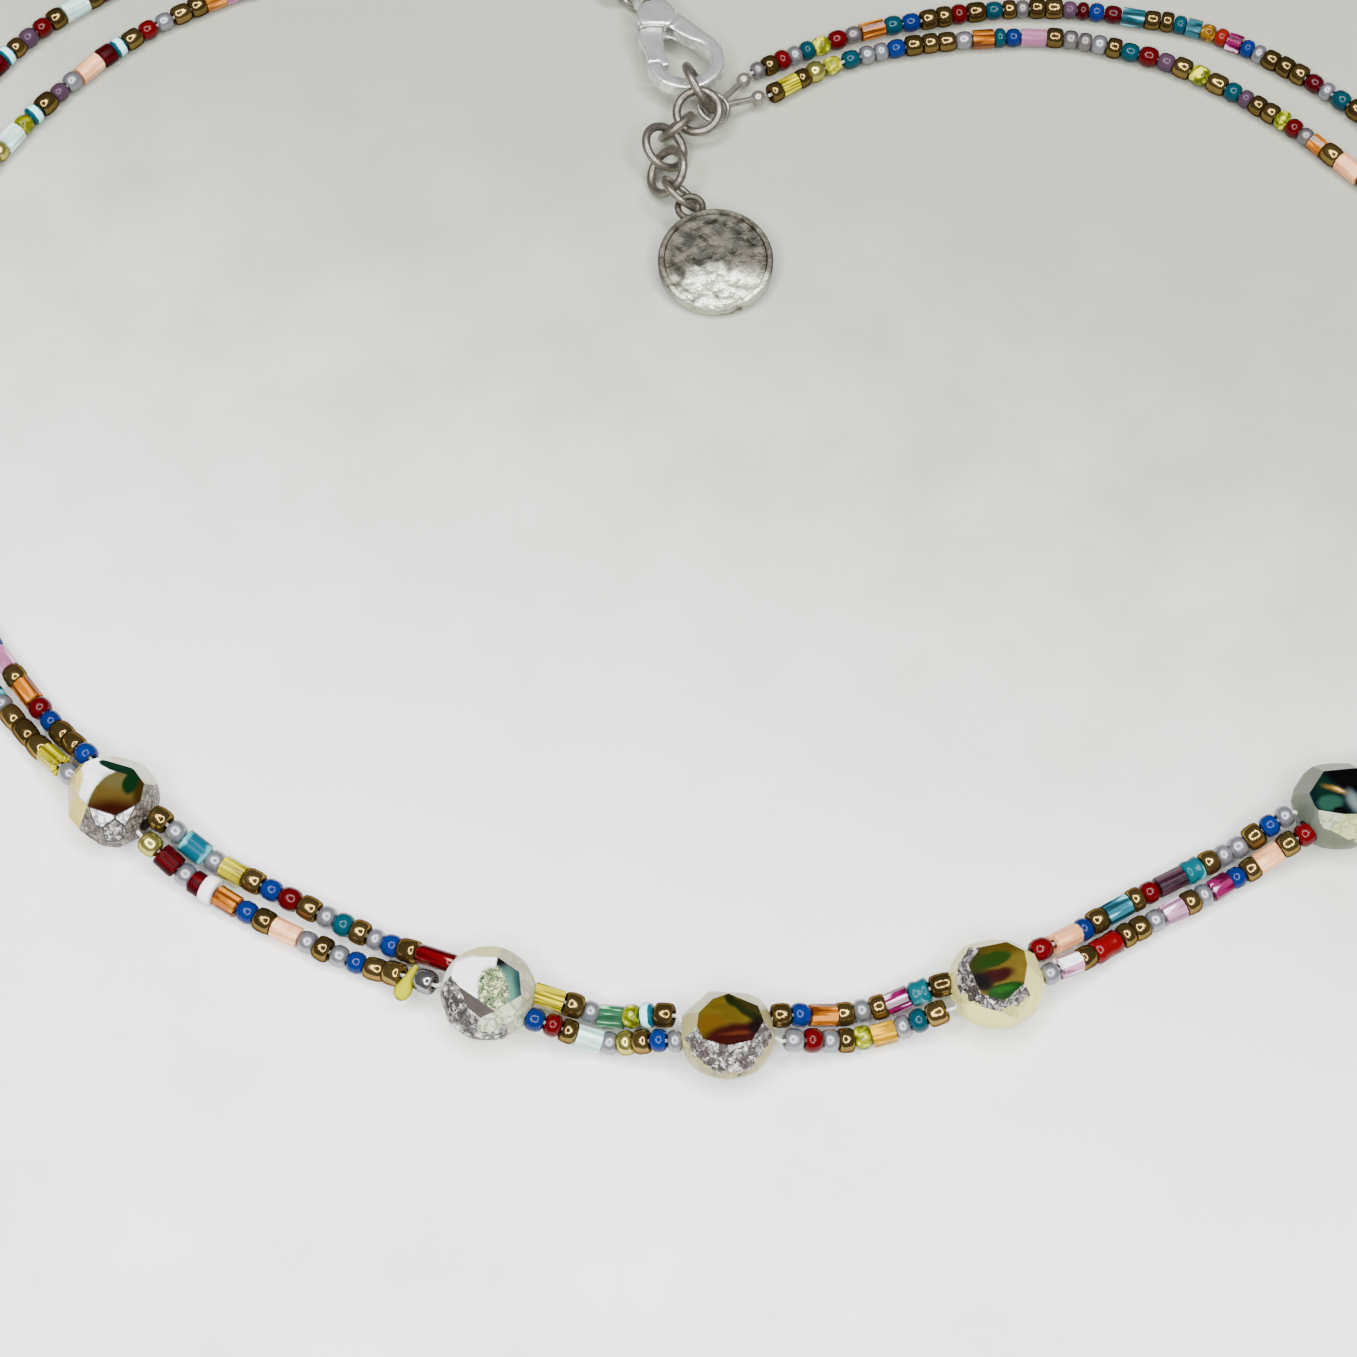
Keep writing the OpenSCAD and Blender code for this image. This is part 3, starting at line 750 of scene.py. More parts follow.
# large window beads, in millimetres from the bead's middle and seen from above
# window: each corner of the flat window, then the finish of the facet that starts there and how far it
# looks up in degrees, or None where it runs straight to the girdle; a corner alone starts such a facet
# outer: (direction, distance of its edge, how far it looks up, finish) of a facet outside those
# girdle: (direction, how far it looks up, distance, finish)
# a facet without a finish has that of the body
# patches: (colour, middle, radii, turn, softness), one over another
# rest: (from, to, finish) for the round rest of the bead, as directions in degrees
milk = (0.86, 0.88, 0.87)
windowBeads = {
    "window_bead_1": {
        "centre": (-53, -41.5), "turn": -38, "wide": 8.3, "tall": 6.2, "shift": (-0.25, 0),
        "window": [(-1.3, 2.6), (1.97, 1.57), (3.09, 0.07, "dull", None), (2.92, -1.75, "bright", 28),
            (0.93, -2.99, "bright", 42), (-1.58, -2.13), (-2.75, -0.8), (-2.95, 0.9, "body", 34),
            (-2.2, 2.2, "body", 30)],
        "outer": [(106, 2.88, 26), (70, 2.5, 28), (-133, 2.63, 27, "dull")],
        "girdle": [(-148, 12, 3.8, "dull"), (-112, 15, 3.76, "dull"), (-82, 16, 3.92, "foil"),
            (-46, 14, 3.98, "dull"), (0, 4, 3.98, "dull"), (45, 0, 4.0), (90, 0, 3.97), (135, 0, 4.0),
            (180, 4, 4.02)],
        # this bead's bore takes the near-black gap finish: painted shade in the hole
        "rest": [(-150, 12, "dull")], "bore": "gap", "outlined": ("bright", "foil"),
        "bodyColour": (0.5, 0.41, 0.085), "glass": milk,
        "glassPatches": [((0.0656, 0.041, 0.0074), (1.5, -2.2), (3.1, 3.7), 0, 0.04),
            ((0.066, 0.056, 0.018), (0.7, 0.35), (1.3, 0.75), 0, 0.6),
            ((0.0164, 0.0021, 0.0002), (0.8, -3.0), (3.3, 1.5), -4, 0.5),
            ((0.018, 0.0082, 0.0003), (2.9, -0.7), (0.75, 1.7), 0, 0.4),
            ((0.0009, 0.0115, 0.0048), (0.6, 1.68), (1.8, 0.46), -20, 0.1),
            ((0.5, 0.41, 0.1), (-3.1, -0.3), (0.75, 2.3), -6, 0.2),
            ((0.0008, 0.0115, 0.0018), (1.95, 0.3), (0.7, 1.3), -14, 0.18)],
        "bodyPatches": [(milk, (-1.2, 2.3), (1.3, 1.2), 30, 0.25),
            ((0.66, 0.65, 0.58), (2.6, 2.4), (2.2, 1.9), 0, 0.4)]},
    "window_bead_2": {
        "centre": (-19.5, -60), "turn": -18, "wide": 8.1, "shift": (0, 0),
        "window": [(0.92, 2.14, "dim", 42), (2.72, 0.81, "dim", 34), (2.94, -1.29, "pale", 44),
            (0.8, -2.69, "smoke", 66), (-2.3, -0.45, "foil", 44), (-3.0, 0.5, "body", 34),
            (-2.7, 1.6, "body", 40), (-1.3, 2.2, "body", 46)],
        "outer": [(-128, 2.28, 42, "foil"), (-88, 2.74, 36, "pale"), (125, 2.95, 38)], "under": 3.62,
        "girdle": [(-160, 8, 3.84, "foil"), (-122, 16, 3.78, "foil"), (-40, 6, 3.9, "pale"),
            (0, 0, 3.94, "dim"), (45, 0, 3.92, "dim"), (90, 0, 3.94), (140, 0, 3.95)],
        "rest": [(-176, -62, "foil"), (-62, 40, "dim")], "bore": "dim", "bodyColour": (0.5, 0.46, 0.18),
        "glass": (0.0287, 0.0558, 0.0508),
        "glassPatches": [((0.0697, 0.1804, 0.1394), (1.7, -0.9), (0.8, 1.6), 10, 0.8),
            ((0.006, 0.03, 0.034), (2.95, -0.2), (0.55, 1.9), 4, 0.7),
            ((0.0008, 0.001, 0.0011), (0.9, 1.9), (0.75, 0.55), -38, 0.5),
            (milk, (-2.62, 1.55), (3.2, 5.2), -21, 0.03)],
        "foilPatch": ((0.55, -0.85), (1.3, 2.2), 8, 0.14),
        "bodyPatches": [(milk, (-2.0, 0.8), (1.9, 1.6), 20, 0.2),
            ((0.5, 0.45, 0.16), (-0.9, 3.5), (2.6, 0.8), 0, 0.4)]},
    "window_bead_3": {
        "centre": (0.5, -63.5), "turn": 0, "wide": 8.0, "shift": (0.1, 0),
        "window": [(0.16, 2.39), (2.6, 1.28), (3.06, -0.07, "lilac", 30), (2.08, -1.76, "lilac", 36),
            (0.06, -2.23, "lilac", 36), (-1.96, -1.68, "lilac", 34), (-2.49, -0.58), (-2.33, 0.66),
            (-1.16, 1.91)],
        "outer": [(-28, 2.9, 28, "lilac"), (-152, 2.75, 28, "lilac"), (86, 2.41, 25), (38, 2.85, 26),
            (134, 2.3, 27)],
        "girdle": [(-150, 4, 3.92), (-108, 10, 3.8, "lilac"), (-68, 10, 3.8, "lilac"), (-28, 4, 3.92),
            (12, 0, 3.93), (60, 0, 3.92), (120, 0, 3.92), (170, 0, 3.93)],
        "foilEnds": (0.1, -0.2, 3.62), "bodyColour": (0.38, 0.34, 0.15), "glass": (0.062, 0.042, 0.0022),
        "glassPatches": [((0.072, 0.034, 0.0015), (-1.4, -0.3), (1.3, 0.8), 0, 0.6),
            ((0.018, 0.001, 0.0002), (0.6, -1.6), (2.6, 1.3), 9, 0.25),
            ((0.0574, 0.0107, 0.0025), (1.0, -1.1), (1.3, 0.16), 6, 0.8),
            ((0.0049, 0.0074, 0.0004), (1.6, 0.95), (1.9, 0.48), -36, 0.25),
            ((0.014, 0.012, 0.0005), (2.1, 1.3), (1.2, 0.5), -30, 0.4),
            ((0.0049, 0.0057, 0.0004), (0.25, 2.1), (0.42, 0.8), 14, 0.4),
            ((0.0033, 0.0002, 0.0002), (2.65, -0.6), (0.95, 0.8), 0, 0.4)]},
    "window_bead_4": {
        "centre": (23.5, -59), "turn": 23, "wide": 8.2, "shift": (-0.25, 0),
        "window": [(-1.69, 2.08), (0.59, 2.57), (2.0, 1.76), (2.17, 0.49), (1.81, -1.2, "foil", 42),
            (0.1, -2.77, "foil", 40), (-1.84, -2.15, "foil", 48), (-2.77, 0.38, "foil", 42)],
        "outer": [(-108, 2.95, 24), (-160, 3.0, 38, "foil"), (-165, 3.3, 20, "foil"), (148, 3.0, 24),
            (-42, 2.45, 30), (88, 2.62, 27)],
        "under": 3.62,
        "girdle": [(-150, 4, 3.98), (-105, 6, 3.96), (-60, 4, 3.98), (-15, 0, 3.98), (30, 0, 3.98),
            (75, 0, 3.96), (120, 0, 3.96), (165, 0, 3.99)],
        "foilEnds": (-0.45, -0.05, 3.3), "bodyColour": (0.64, 0.6, 0.2), "glass": (0.082, 0.056, 0.0055),
        "glassPatches": [((0.038, 0.023, 0.0006), (-0.2, 2.2), (2.4, 0.8), 0, 0.6),
            ((0.0131, 0.0148, 0.0005), (-2.0, 0.5), (1.1, 1.5), 0, 0.6),
            ((0.006, 0.021, 0.0004), (-0.65, 0.95), (1.6, 0.65), 20, 0.2),
            ((0.0164, 0.0007, 0.0003), (-0.6, -0.55), (1.75, 0.62), 18, 0.3),
            # the near-black patch at the window's lower left is painted shade seen in the glass
            ((0.0012, 0.0002, 0.0002), (-1.7, -1.1), (1.0, 0.7), -30, 0.35),
            ((0.0016, 0.0246, 0.0005), (0.4, -1.85), (1.7, 0.75), 14, 0.14),
            ((0.0066, 0.0615, 0.0033), (0.0, -1.75), (0.8, 0.22), 14, 0.8)]},
    "window_bead_5": {
        "centre": (54.5, -42), "turn": 36, "wide": 8.1, "shift": (-0.2, 0),
        "window": [(-3.31, -0.39), (-1.79, 1.79), (1.09, 2.1), (2.6, 0.9), (2.6, -0.9),
            (1.0, -2.4, "cream", 40), (-0.58, -2.41, "pale", 44), (-2.9, -1.98)],
        "girdle": [(-150, 8, 3.93), (-105, 12, 3.88), (-60, 12, 3.86, "cream"), (-15, 4, 3.93),
            (30, 0, 3.94), (75, 0, 3.93), (120, 0, 3.93), (165, 4, 3.95)],
        "bodyColour": (0.1, 0.11, 0.07), "glass": (0.0004, 0.0049, 0.0074),
        "glassPatches": [((0.0005, 0.009, 0.0049), (-2.0, 0.2), (0.8, 1.2), 0, 0.5),
            ((0.0002, 0.0002, 0.0002), (0.9, 1.2), (2.7, 1.35), -14, 0.15),
            ((0.0098, 0.0451, 0.0287), (-1.6, -1.3), (1.1, 0.7), 12, 0.3),
            ((0.13, 0.075, 0.012), (-0.95, 0.02), (0.95, 0.24), -20, 0.8),
            ((0.6, 0.34, 0.12), (-0.75, 0.0), (0.4, 0.1), -18, 0.9),
            ((0.1, 0.13, 0.13), (0.5, -1.2), (0.5, 0.95), 20, 0.8),
            ((0.0003, 0.0003, 0.0003), (-0.75, -2.1), (0.6, 0.4), -20, 0.3)],
        "bodyPatches": [((0.0902, 0.1066, 0.082), (-2.6, -1.6), (1.6, 1.8), 0, 0.5)]}}
cutFinish = {"tall": 4.6, "segments": 56, "rings": 28, "edge": 0.05, "edgeAbove": 9, "bore": 0.75,
             "drillLength": 20, "girdleReach": 3.92, "extraLook": 2, "underFacets": 10, "underLook": -30,
             "worn": 0.24, "wornAbove": 9, "gap": 0.11, "weld": 0.004, "sameWay": 0.9995, "onPlane": 0.02,
             "smoothBelow": 24, "tornEdge": 0.06, "smoke": (0.025, 0.017, 0.013)}


def facetNormal(direction, slope):
    d, s = math.radians(direction), math.radians(slope)
    return Vector((math.cos(s) * math.cos(d), math.cos(s) * math.sin(d), math.sin(s)))


# planes that cut the bead: outward normal, distance from the middle and the finish of the facet
def cutPlanes(facts):
    planes = [(Vector((0, 0, 1)), windowHeight, "window"), (Vector((0, 0, -1)), windowHeight, "window")]
    crown = list(facts.get("outer", []))
    corners = facts["window"]
    for (x, y, *facet), (nextX, nextY, *nextFacet) in zip(corners, corners[1:] + corners[:1]):
        finish, slope = facet or ("body", None)
        direction = math.atan2(nextX - x, y - nextY)
        reach = x * math.cos(direction) + y * math.sin(direction)
        if slope is None:
            toGirdle = math.atan2(cutFinish["girdleReach"] - reach, windowHeight)
            slope = math.degrees(toGirdle) + cutFinish["extraLook"]
        crown.append((math.degrees(direction), reach, slope, finish))
    for direction, reach, slope, *finish in crown:
        normal = facetNormal(direction, slope)
        distance = reach * math.cos(math.radians(slope)) + windowHeight * math.sin(math.radians(slope))
        finish = finish[0] if finish else "body"
        planes.append((normal, distance, finish))
        planes.append((Vector((normal.x, normal.y, -normal.z)), distance, finish))
    for direction, slope, distance, *finish in facts["girdle"]:
        normal = facetNormal(direction, slope)
        shifted = distance + normal.x * facts["shift"][0] + normal.y * facts["shift"][1]
        planes.append((normal, shifted, finish[0] if finish else "body"))
    if "under" in facts:
        for k in range(cutFinish["underFacets"]):
            normal = facetNormal(360 * (k + 0.5) / cutFinish["underFacets"], cutFinish["underLook"])
            planes.append((normal, facts["under"] + normal.x * facts["shift"][0], "body"))
    return planes


def bodyGlass(name, facts, centre):
    material, tree, shader = newMaterial(name + "_body")
    point = pointInMm(tree, centre)
    colour, cloud = mottledColour(tree, point, facts["bodyColour"], 0.1, 0.7)
    colour = layPatches(tree, colour, bentPoint(tree, point, 0.5), facts.get("bodyPatches", ()))
    # painted shade: the body's colour darkens towards its outline
    colour = paintShadeAtOutline(tree, colour, [c * 0.4 for c in facts["bodyColour"]], 0.35, 0.95, 0.4)
    setShader(tree, shader, Base_Color=colour, Roughness=0.3, Specular_IOR_Level=0.14, IOR=1.5,
              Subsurface_Weight=0.15, Subsurface_Scale=0.0008, Coat_Weight=0.06, Coat_Roughness=0.06,
              Normal=bumped(tree, cloud, 0.2, 0.00012))
    return material


def crackle(tree, point, facts):
    return addNode(tree, "Group", {
        "Point": point, "Flake": facts["flake"], "Bright": colour4(facts["bright"]),
        "Dull": colour4(facts["dull"]), "Crack": colour4(facts["crack"]), "Shine": facts["shine"]},
        node_tree=crackleGroup)


def windowGlass(name, facts, centre):
    material, tree, shader = newMaterial(name + "_window")
    point = pointInMm(tree, centre)
    streaks = addNode(tree, "Mapping", {"Vector": point, "Scale": (0.5, 1.7, 1)}).outputs[0]
    colour = mottledColour(tree, streaks, facts["glass"], 0.3, 0.8)[0]
    bent = bentPoint(tree, point, 0.35)
    colour = layPatches(tree, colour, bent, facts["glassPatches"])
    if "foilPatch" in facts:
        # foil glitter under the clear glass
        glitter = crackle(tree, point, crackleFinishes["glitter"]).outputs["Color"]
        colour = mixColour(tree, softPatch(tree, bent, *facts["foilPatch"]), colour, glitter)
    setShader(tree, shader, Base_Color=colour, Roughness=0.05, IOR=1.52, Coat_Weight=0.6,
              Coat_Roughness=0.02)
    return material


def foilGlass(name, centre, facts, bead):
    material, tree, shader = newMaterial(name)
    point = pointInMm(tree, centre)
    foil = crackle(tree, point, facts).outputs
    colour = foil["Color"]
    if "foilEnds" in bead:
        # the foil stops short of the girdle along a torn line
        x, y, radius = bead["foilEnds"]
        away = distanceFrom(tree, bentPoint(tree, point, 1.3), (x, y))
        ends = softStep(tree, away, radius - cutFinish["tornEdge"], radius + cutFinish["tornEdge"])
        colour = layColour(tree, colour, bead["bodyColour"], ends)
    setShader(tree, shader, Base_Color=colour, Roughness=foil["Roughness"], Metallic=facts["metal"],
              Specular_IOR_Level=0.3, Coat_Weight=0.1, Coat_Roughness=0.1,
              Normal=bumped(tree, foil["Height"], facts["relief"], 0.00015))
    return material


def smokeGlass(name, centre):
    material, tree, shader = newMaterial(name)
    colour = mottledColour(tree, pointInMm(tree, centre), cutFinish["smoke"], 0.3, 1.2)[0]
    setShader(tree, shader, Base_Color=colour, Roughness=0.2, Specular_IOR_Level=0.1)
    return material


# crackled finishes: colours of the flakes and the cracks, scale of the flakes (smaller flakes are higher),
# how bright they lie, how high they stand and how metallic they are
def crackled(bright, dull, crack, flake, shine, relief=0.0, metal=0.0):
    return {"bright": bright, "dull": dull, "crack": crack, "flake": flake, "shine": shine,
            "relief": relief, "metal": metal}


crackleFinishes = {
    "bright": crackled((1.0, 1.0, 1.0), (0.45, 0.46, 0.48), (0.16, 0.165, 0.17), 1.2, 0.7, 0.4),
    "foil": crackled((0.95, 0.93, 0.88), (0.042, 0.033, 0.03), (0.003, 0.002, 0.002), 2.2, 0.0, 0.9, 0.15),
    "lilac": crackled((0.95, 0.93, 0.9), (0.065, 0.049, 0.044), (0.012, 0.007, 0.006), 2.6, 0.05, 0.8, 0.1),
    "gap": crackled((0.05, 0.042, 0.036), (0.02, 0.016, 0.013), (0.006, 0.004, 0.003), 2.0, 0.1, 0.5),
    "dull": crackled((0.34, 0.3, 0.25), (0.09, 0.073, 0.058), (0.018, 0.012, 0.008), 1.7, 0.12, 0.7, 0.1),
    "pale": crackled((0.55, 0.6, 0.42), (0.3, 0.33, 0.22), (0.2, 0.22, 0.14), 0.9, 0.4, 0.3),
    "dim": crackled((0.38, 0.36, 0.23), (0.3, 0.285, 0.18), (0.24, 0.225, 0.14), 0.7, 0.4, 0.15),
    "cream": crackled((0.45, 0.48, 0.22), (0.34, 0.37, 0.17), (0.26, 0.28, 0.13), 0.7, 0.5, 0.15),
    "glitter": crackled((0.95, 1.0, 0.5), (0.1, 0.15, 0.07), (0.012, 0.028, 0.016), 3.2, 0.12)}


def selectNone(mode):
    setMode("EDIT")
    bpy.ops.mesh.select_mode(type=mode)
    bpy.ops.mesh.select_all(action="DESELECT")
    setMode("OBJECT")


# edges between two facets of the body are worn round
def softenBody(bead):
    mesh = bead.data
    sides = {}
    for face in mesh.polygons:
        for key in face.edge_keys:
            sides.setdefault(key, []).append((face.material_index, face.normal.copy()))
    sharpest = math.radians(cutFinish["wornAbove"])
    worn = [edge.index for edge in mesh.edges
            if [finish for finish, normal in sides[edge.key]] == [0, 0]
            and sides[edge.key][0][1].angle(sides[edge.key][1][1]) > sharpest]
    selectNone("EDGE")
    for index in worn:
        mesh.edges[index].select = True
    setMode("EDIT")
    bpy.ops.mesh.bevel(offset=cutFinish["worn"], segments=3, affect="EDGES", clamp_overlap=True)
    setMode("OBJECT")


# a dark gap round each facet of one finish
def outlineFacets(bead, finish, gap):
    mesh = bead.data
    selectNone("FACE")
    for face in mesh.polygons:
        face.select = face.material_index == finish
    setMode("EDIT")
    bpy.ops.mesh.inset(thickness=cutFinish["gap"], use_individual=True)
    setMode("OBJECT")
    for face in mesh.polygons:
        if face.material_index == finish and not face.select:
            face.material_index = gap


def beadFinish(name, finish, facts, centre):
    if finish == "body":
        return bodyGlass(name, facts, centre)
    if finish == "window":
        return windowGlass(name, facts, centre)
    if finish == "smoke":
        return smokeGlass(name + "_smoke", centre)
    return foilGlass(name + "_" + finish, centre, crackleFinishes[finish], facts)


# each facet takes the finish of its plane, and the round rest of the bead that of its zone
def finishFaces(bead, planes, restZones, finishes):
    for face in bead.data.polygons:
        direction = math.degrees(math.atan2(face.center.y, face.center.x))
        for start, end, finish in restZones:
            if start < direction < end:
                face.material_index = finishes.index(finish)
        for normal, distance, finish in planes:
            offPlane = abs(face.center.dot(normal) - distance)
            if face.normal.dot(normal) > cutFinish["sameWay"] and offPlane < cutFinish["onPlane"]:
                face.material_index = finishes.index(finish)


def cutWindowBead(name, facts):
    bpy.ops.object.select_all(action="DESELECT")
    bpy.ops.mesh.primitive_uv_sphere_add(segments=cutFinish["segments"], ring_count=cutFinish["rings"],
                                         radius=1, location=(facts["shift"][0], facts["shift"][1], 0))
    bead = bpy.context.object
    bead.scale = (facts["wide"] / 2, facts["wide"] / 2, facts.get("tall", cutFinish["tall"]))
    applyPlace(bead)
    planes = cutPlanes(facts)
    setMode("EDIT")
    for normal, distance, finish in planes:
        bpy.ops.mesh.select_all(action="SELECT")
        bpy.ops.mesh.bisect(plane_co=normal * distance, plane_no=normal, use_fill=True, clear_outer=True)
    bpy.ops.mesh.select_all(action="SELECT")
    bpy.ops.mesh.remove_doubles(threshold=cutFinish["weld"])
    setMode("OBJECT")
    centre = (facts["centre"][0], facts["centre"][1], windowHeight)
    restZones = facts.get("rest", [])
    used = {finish for normal, distance, finish in planes} | {finish for start, end, finish in restZones}
    finishes = ["body", "window"] + sorted(used - {"body", "window"})
    if "outlined" in facts:
        finishes.append("gap")
    for finish in finishes:
        bead.data.materials.append(beadFinish(name, finish, facts, centre))
    finishFaces(bead, planes, restZones, finishes)
    softenBody(bead)
    for finish in facts.get("outlined", ()):
        outlineFacets(bead, finishes.index(finish), finishes.index("gap"))
    bpy.ops.mesh.primitive_cylinder_add(vertices=20, radius=cutFinish["bore"],
                                        depth=cutFinish["drillLength"],
                                        rotation=(0, math.pi / 2, math.radians(facts["turn"])))
    drill = bpy.context.object
    for material in bead.data.materials:
        drill.data.materials.append(material)
    # each bead's bore takes its own finish; where that finish is near-black it is painted shade in the hole
    for face in drill.data.polygons:
        face.material_index = finishes.index(facts.get("bore", "body"))
    takeOnly(bead)
    bore = bead.modifiers.new("bore", "BOOLEAN")
    bore.object = drill
    bore.operation = "DIFFERENCE"
    bore.solver = "EXACT"
    edges = bead.modifiers.new("edges", "BEVEL")
    edges.width = cutFinish["edge"]
    edges.segments = 2
    edges.limit_method = "ANGLE"
    edges.angle_limit = math.radians(cutFinish["edgeAbove"])
    edges.use_clamp_overlap = True
    applyModifiers(bead)
    bpy.data.objects.remove(drill)
    bead.data.transform(Matrix.Scale(mm, 4) @ Matrix.Translation(centre))
    bead.name = "cut_" + name
    bead.data.name = bead.name
    takeOnly(bead)
    bpy.ops.object.shade_smooth_by_angle(angle=math.radians(cutFinish["smoothBelow"]))
    flats = bead.modifiers.new("flats", "WEIGHTED_NORMAL")
    flats.keep_sharp = True
    applyModifiers(bead)
    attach(bead, "necklace")
    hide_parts(name)


for name, facts in windowBeads.items():
    cutWindowBead(name, facts)
print("window beads cut")


# plated metal: bright where it is rubbed, darker in patches and fine scratches
def plateMetal(name, bright, dark, rough, wear, relief, metallic=0.8):
    material, tree, shader = newMaterial(name)
    point = pointInMm(tree)
    cloud = noise(tree, point, 0.8, 5.0, 0.65).outputs[0]
    fine = noise(tree, point, 5.0, 3.0).outputs[0]
    wearAndSheen = mapRange(tree, cloud, 0.5 - wear / 2, 0.5 + wear / 2)
    height = maths(tree, "MULTIPLY_ADD", fine, 0.35, cloud)
    setShader(tree, shader, Base_Color=mixColour(tree, wearAndSheen, colour4(dark), colour4(bright)),
              Roughness=mapRange(tree, wearAndSheen, toMin=rough * 1.7, toMax=rough * 0.8), Metallic=metallic,
              Normal=bumped(tree, height, relief, 0.0001))
    return material


# the coin: dark in its hammered hollows, rubbed lighter along its rim, and bright on its high points towards
# its lower edge, which is wear together with a painted highlight on that side
coin = {"centre": (0.2, 19.4, 1.6), "dark": (0.015, 0.013, 0.009), "mid": (0.065, 0.058, 0.042),
        "bright": (0.52, 0.53, 0.42), "wearAndSheen": ((0.4, -3.5), (5.4, 2.5), 0, 0.3), "rimFrom": 5.0,
        "relief": 0.6}


def coinMetal(facts):
    material, tree, shader = newMaterial("worn_coin")
    point = pointInMm(tree, facts["centre"])
    hollows = noise(tree, point, 0.75, 4.0, 0.55).outputs[0]
    dents = cells(tree, bentPoint(tree, point, 1.2), 0.9, "SMOOTH_F1").outputs["Distance"]
    fine = noise(tree, point, 4.0, 3.0).outputs[0]
    # painted highlight with wear: a patch over the lower half that brightens the high points
    wearAndSheen = softPatch(tree, bentPoint(tree, point, 1.6), *facts["wearAndSheen"])
    high = maths(tree, "MULTIPLY", wearAndSheen, softStep(tree, dents, 0.72, 0.45))
    rim = softStep(tree, distanceFrom(tree, point), facts["rimFrom"], facts["rimFrom"] + 0.3)
    worn = softStep(tree, hollows, 0.4, 0.62)
    colour = mixColour(tree, worn, colour4(facts["dark"]), colour4(facts["mid"]))
    colour = layColour(tree, colour, facts["mid"], rim, 0.7)
    colour = layColour(tree, colour, facts["bright"], high)
    height = maths(tree, "MULTIPLY_ADD", fine, 0.12, dents)
    setShader(tree, shader, Base_Color=colour, Roughness=mapRange(tree, high, toMin=0.42, toMax=0.24),
              Metallic=0.55, Normal=bumped(tree, height, facts["relief"], 0.0004))
    return material


# cast pieces: the plain solid with its edges rounded, as a casting's are after polishing
castPieces = {"clasp_body": {"body": "necklace", "skin": 0.1, "rounding": 42},
              "clasp_lever": {"body": "lever", "skin": 0.09, "rounding": 14}}
roundingFactor = 0.5
claspMetal = plateMetal("clasp_plate", (1.0, 1.0, 0.98), (0.5, 0.53, 0.5), 0.26, 0.3, 0.15, 0.85)


def castPiece(name, facts):
    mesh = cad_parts[name].data.copy()
    mesh.transform(Matrix.Scale(1 / mm, 4))
    cast = bpy.data.objects.new("cast_" + name, mesh)
    bpy.context.collection.objects.link(cast)
    takeOnly(cast)
    setMode("EDIT")
    bpy.ops.mesh.select_all(action="SELECT")
    bpy.ops.mesh.remove_doubles(threshold=weldDistance)
    setMode("OBJECT")
    skin = cast.modifiers.new("skin", "REMESH")
    skin.mode = "VOXEL"
    skin.voxel_size = facts["skin"]
    rounding = cast.modifiers.new("rounding", "SMOOTH")
    rounding.factor = roundingFactor
    rounding.iterations = facts["rounding"]
    applyModifiers(cast)
    cast.data.transform(Matrix.Scale(mm, 4))
    bpy.ops.object.shade_smooth()
    coat(cast, claspMetal)
    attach(cast, facts["body"])
    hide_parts(name)


for name, facts in castPieces.items():
    castPiece(name, facts)
chainMetal = plateMetal("chain_plate", (0.26, 0.235, 0.2), (0.075, 0.064, 0.052), 0.3, 0.4, 0.35)
loopMetal = plateMetal("loop_plate", (0.42, 0.4, 0.36), (0.14, 0.125, 0.105), 0.26, 0.45, 0.25)
metalOf = {"clasp_ring": loopMetal, "hook_ring": chainMetal, "charm_ring": chainMetal,
           "coin_charm": coinMetal(coin)}
for name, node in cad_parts.items():
    metal = metalOf.get(name)
    if name.startswith("chain_link"):
        metal = chainMetal
    if name.startswith("end_loop"):
        metal = loopMetal
    if metal:
        coat(node, metal)
print("metal finished")


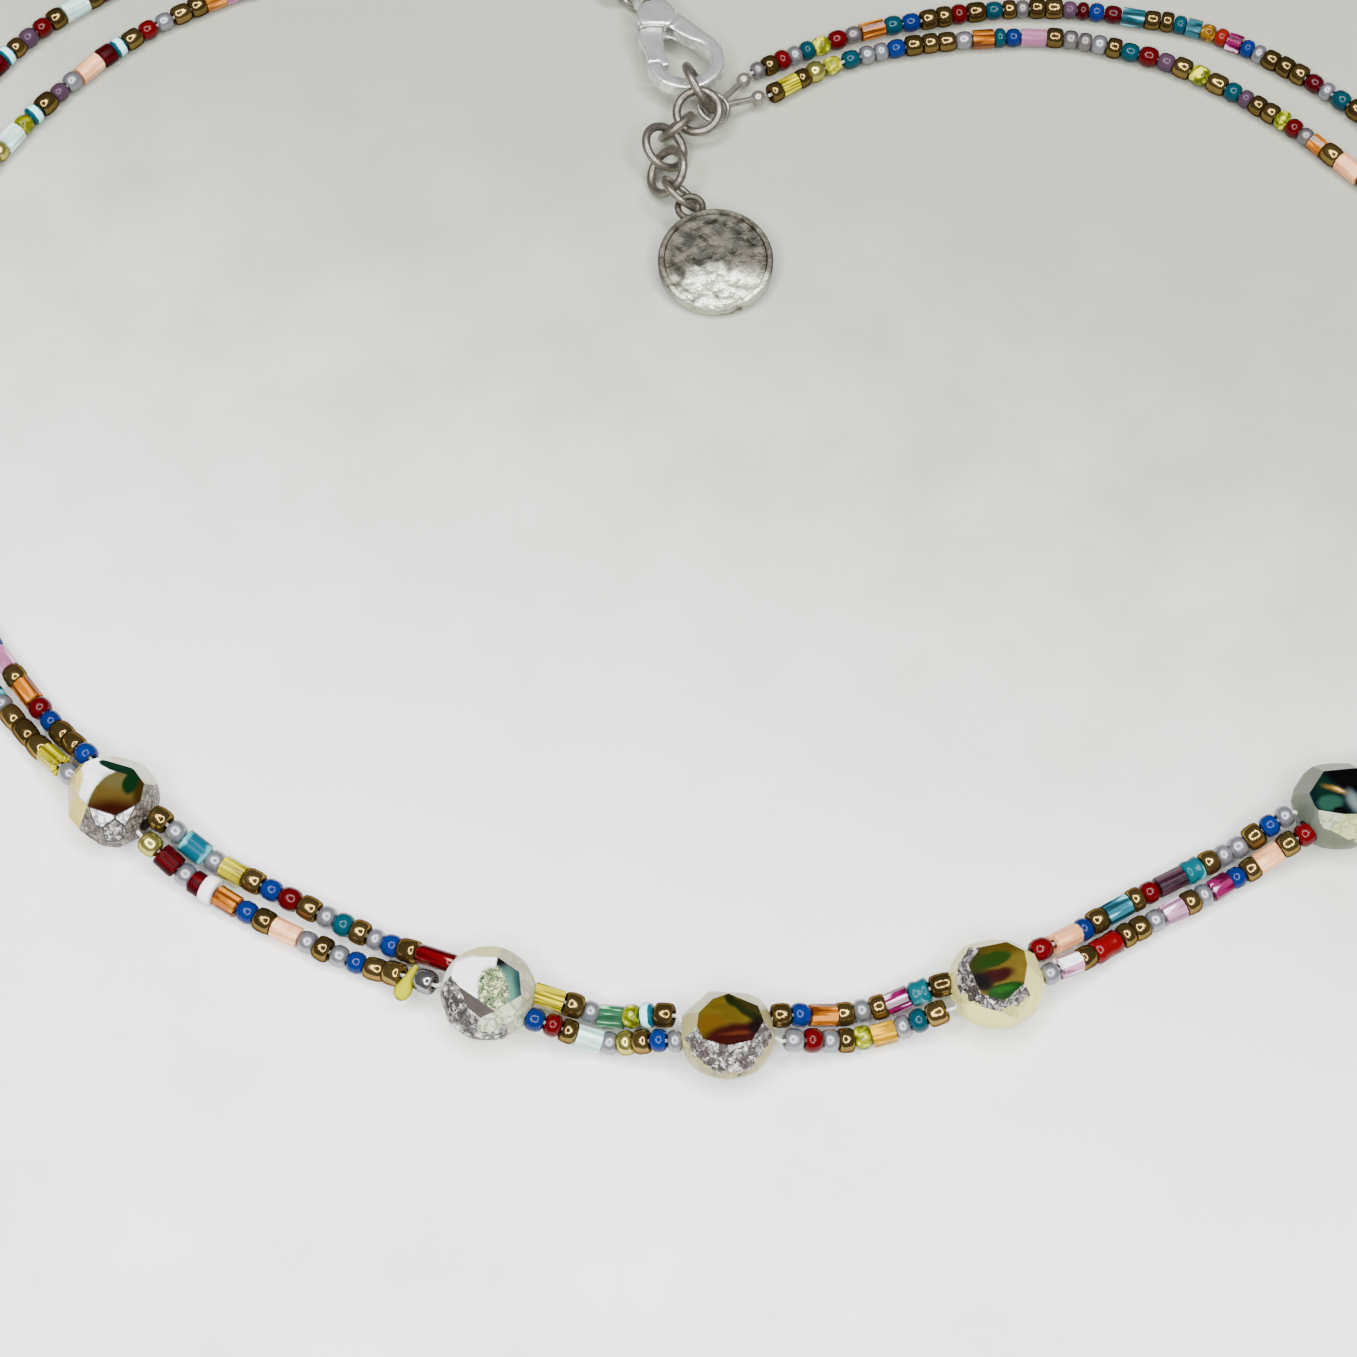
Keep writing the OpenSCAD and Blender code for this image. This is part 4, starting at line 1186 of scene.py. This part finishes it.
# floor, lights and the pale surroundings
# the far colour is painted shade that the floor fades to away from the camera
studio = {"near": (1.0, 1.0, 0.99), "far": (0.34, 0.345, 0.29), "nearFrom": -48, "farFrom": 68,
          "slant": 0.35, "drift": 60.0, "mottle": 0.13, "ringCentre": Vector((0.0, -0.16, 0.5)),
          "ringRadius": 0.29, "lamps": 12, "lampWide": 0.11, "energy": 1.16, "aim": Vector((0, -0.03, 0)),
          "sky": (0.86, 0.9, 0.96), "skyStrength": 0.07, "floorSize": 3, "floorHeight": -0.00002}


# painted shade: the floor's colour gets darker away from the camera
def floorMaterial():
    material, tree, shader = newMaterial("pale_floor")
    point = pointInMm(tree)
    colour, cloud = mottledColour(tree, point, studio["near"], studio["mottle"], 0.07)
    away = vectorMaths(tree, "DOT_PRODUCT", point, (studio["slant"], 1, 0))
    drift = maths(tree, "MULTIPLY_ADD", cloud, studio["drift"], away)
    far = softStep(tree, drift, studio["nearFrom"], studio["farFrom"])
    setShader(tree, shader, Base_Color=layColour(tree, colour, studio["far"], far), Roughness=0.8)
    return material


bpy.ops.object.select_all(action="DESELECT")
bpy.ops.mesh.primitive_plane_add(size=studio["floorSize"], location=(0, 0, studio["floorHeight"]))
floor = bpy.context.object
floor.name = "floor"
applyPlace(floor)
floor.data.materials.append(floorMaterial())

facing = (studio["aim"] - studio["ringCentre"]).normalized()
sideways = facing.cross(Vector((0, 0, 1))).normalized()
upwards = sideways.cross(facing)
for k in range(studio["lamps"]):
    angle = 2 * math.pi * (k + 0.5) / studio["lamps"]
    outward = math.cos(angle) * sideways + math.sin(angle) * upwards
    place = studio["ringCentre"] + studio["ringRadius"] * outward
    bpy.ops.object.light_add(type="AREA", location=place)
    lamp = bpy.context.object
    lamp.name = "ring_lamp"
    lamp.data.shape = "DISK"
    lamp.data.size = studio["lampWide"]
    lamp.data.energy = studio["energy"]
    lamp.rotation_euler = (studio["aim"] - place).to_track_quat("-Z", "Y").to_euler()
world = bpy.data.worlds.new("pale_room")
world.use_nodes = True
sky = next(n for n in world.node_tree.nodes if n.type == "BACKGROUND")
sky.inputs["Color"].default_value = colour4(studio["sky"])
sky.inputs["Strength"].default_value = studio["skyStrength"]
bpy.context.scene.world = world
print("studio lit")
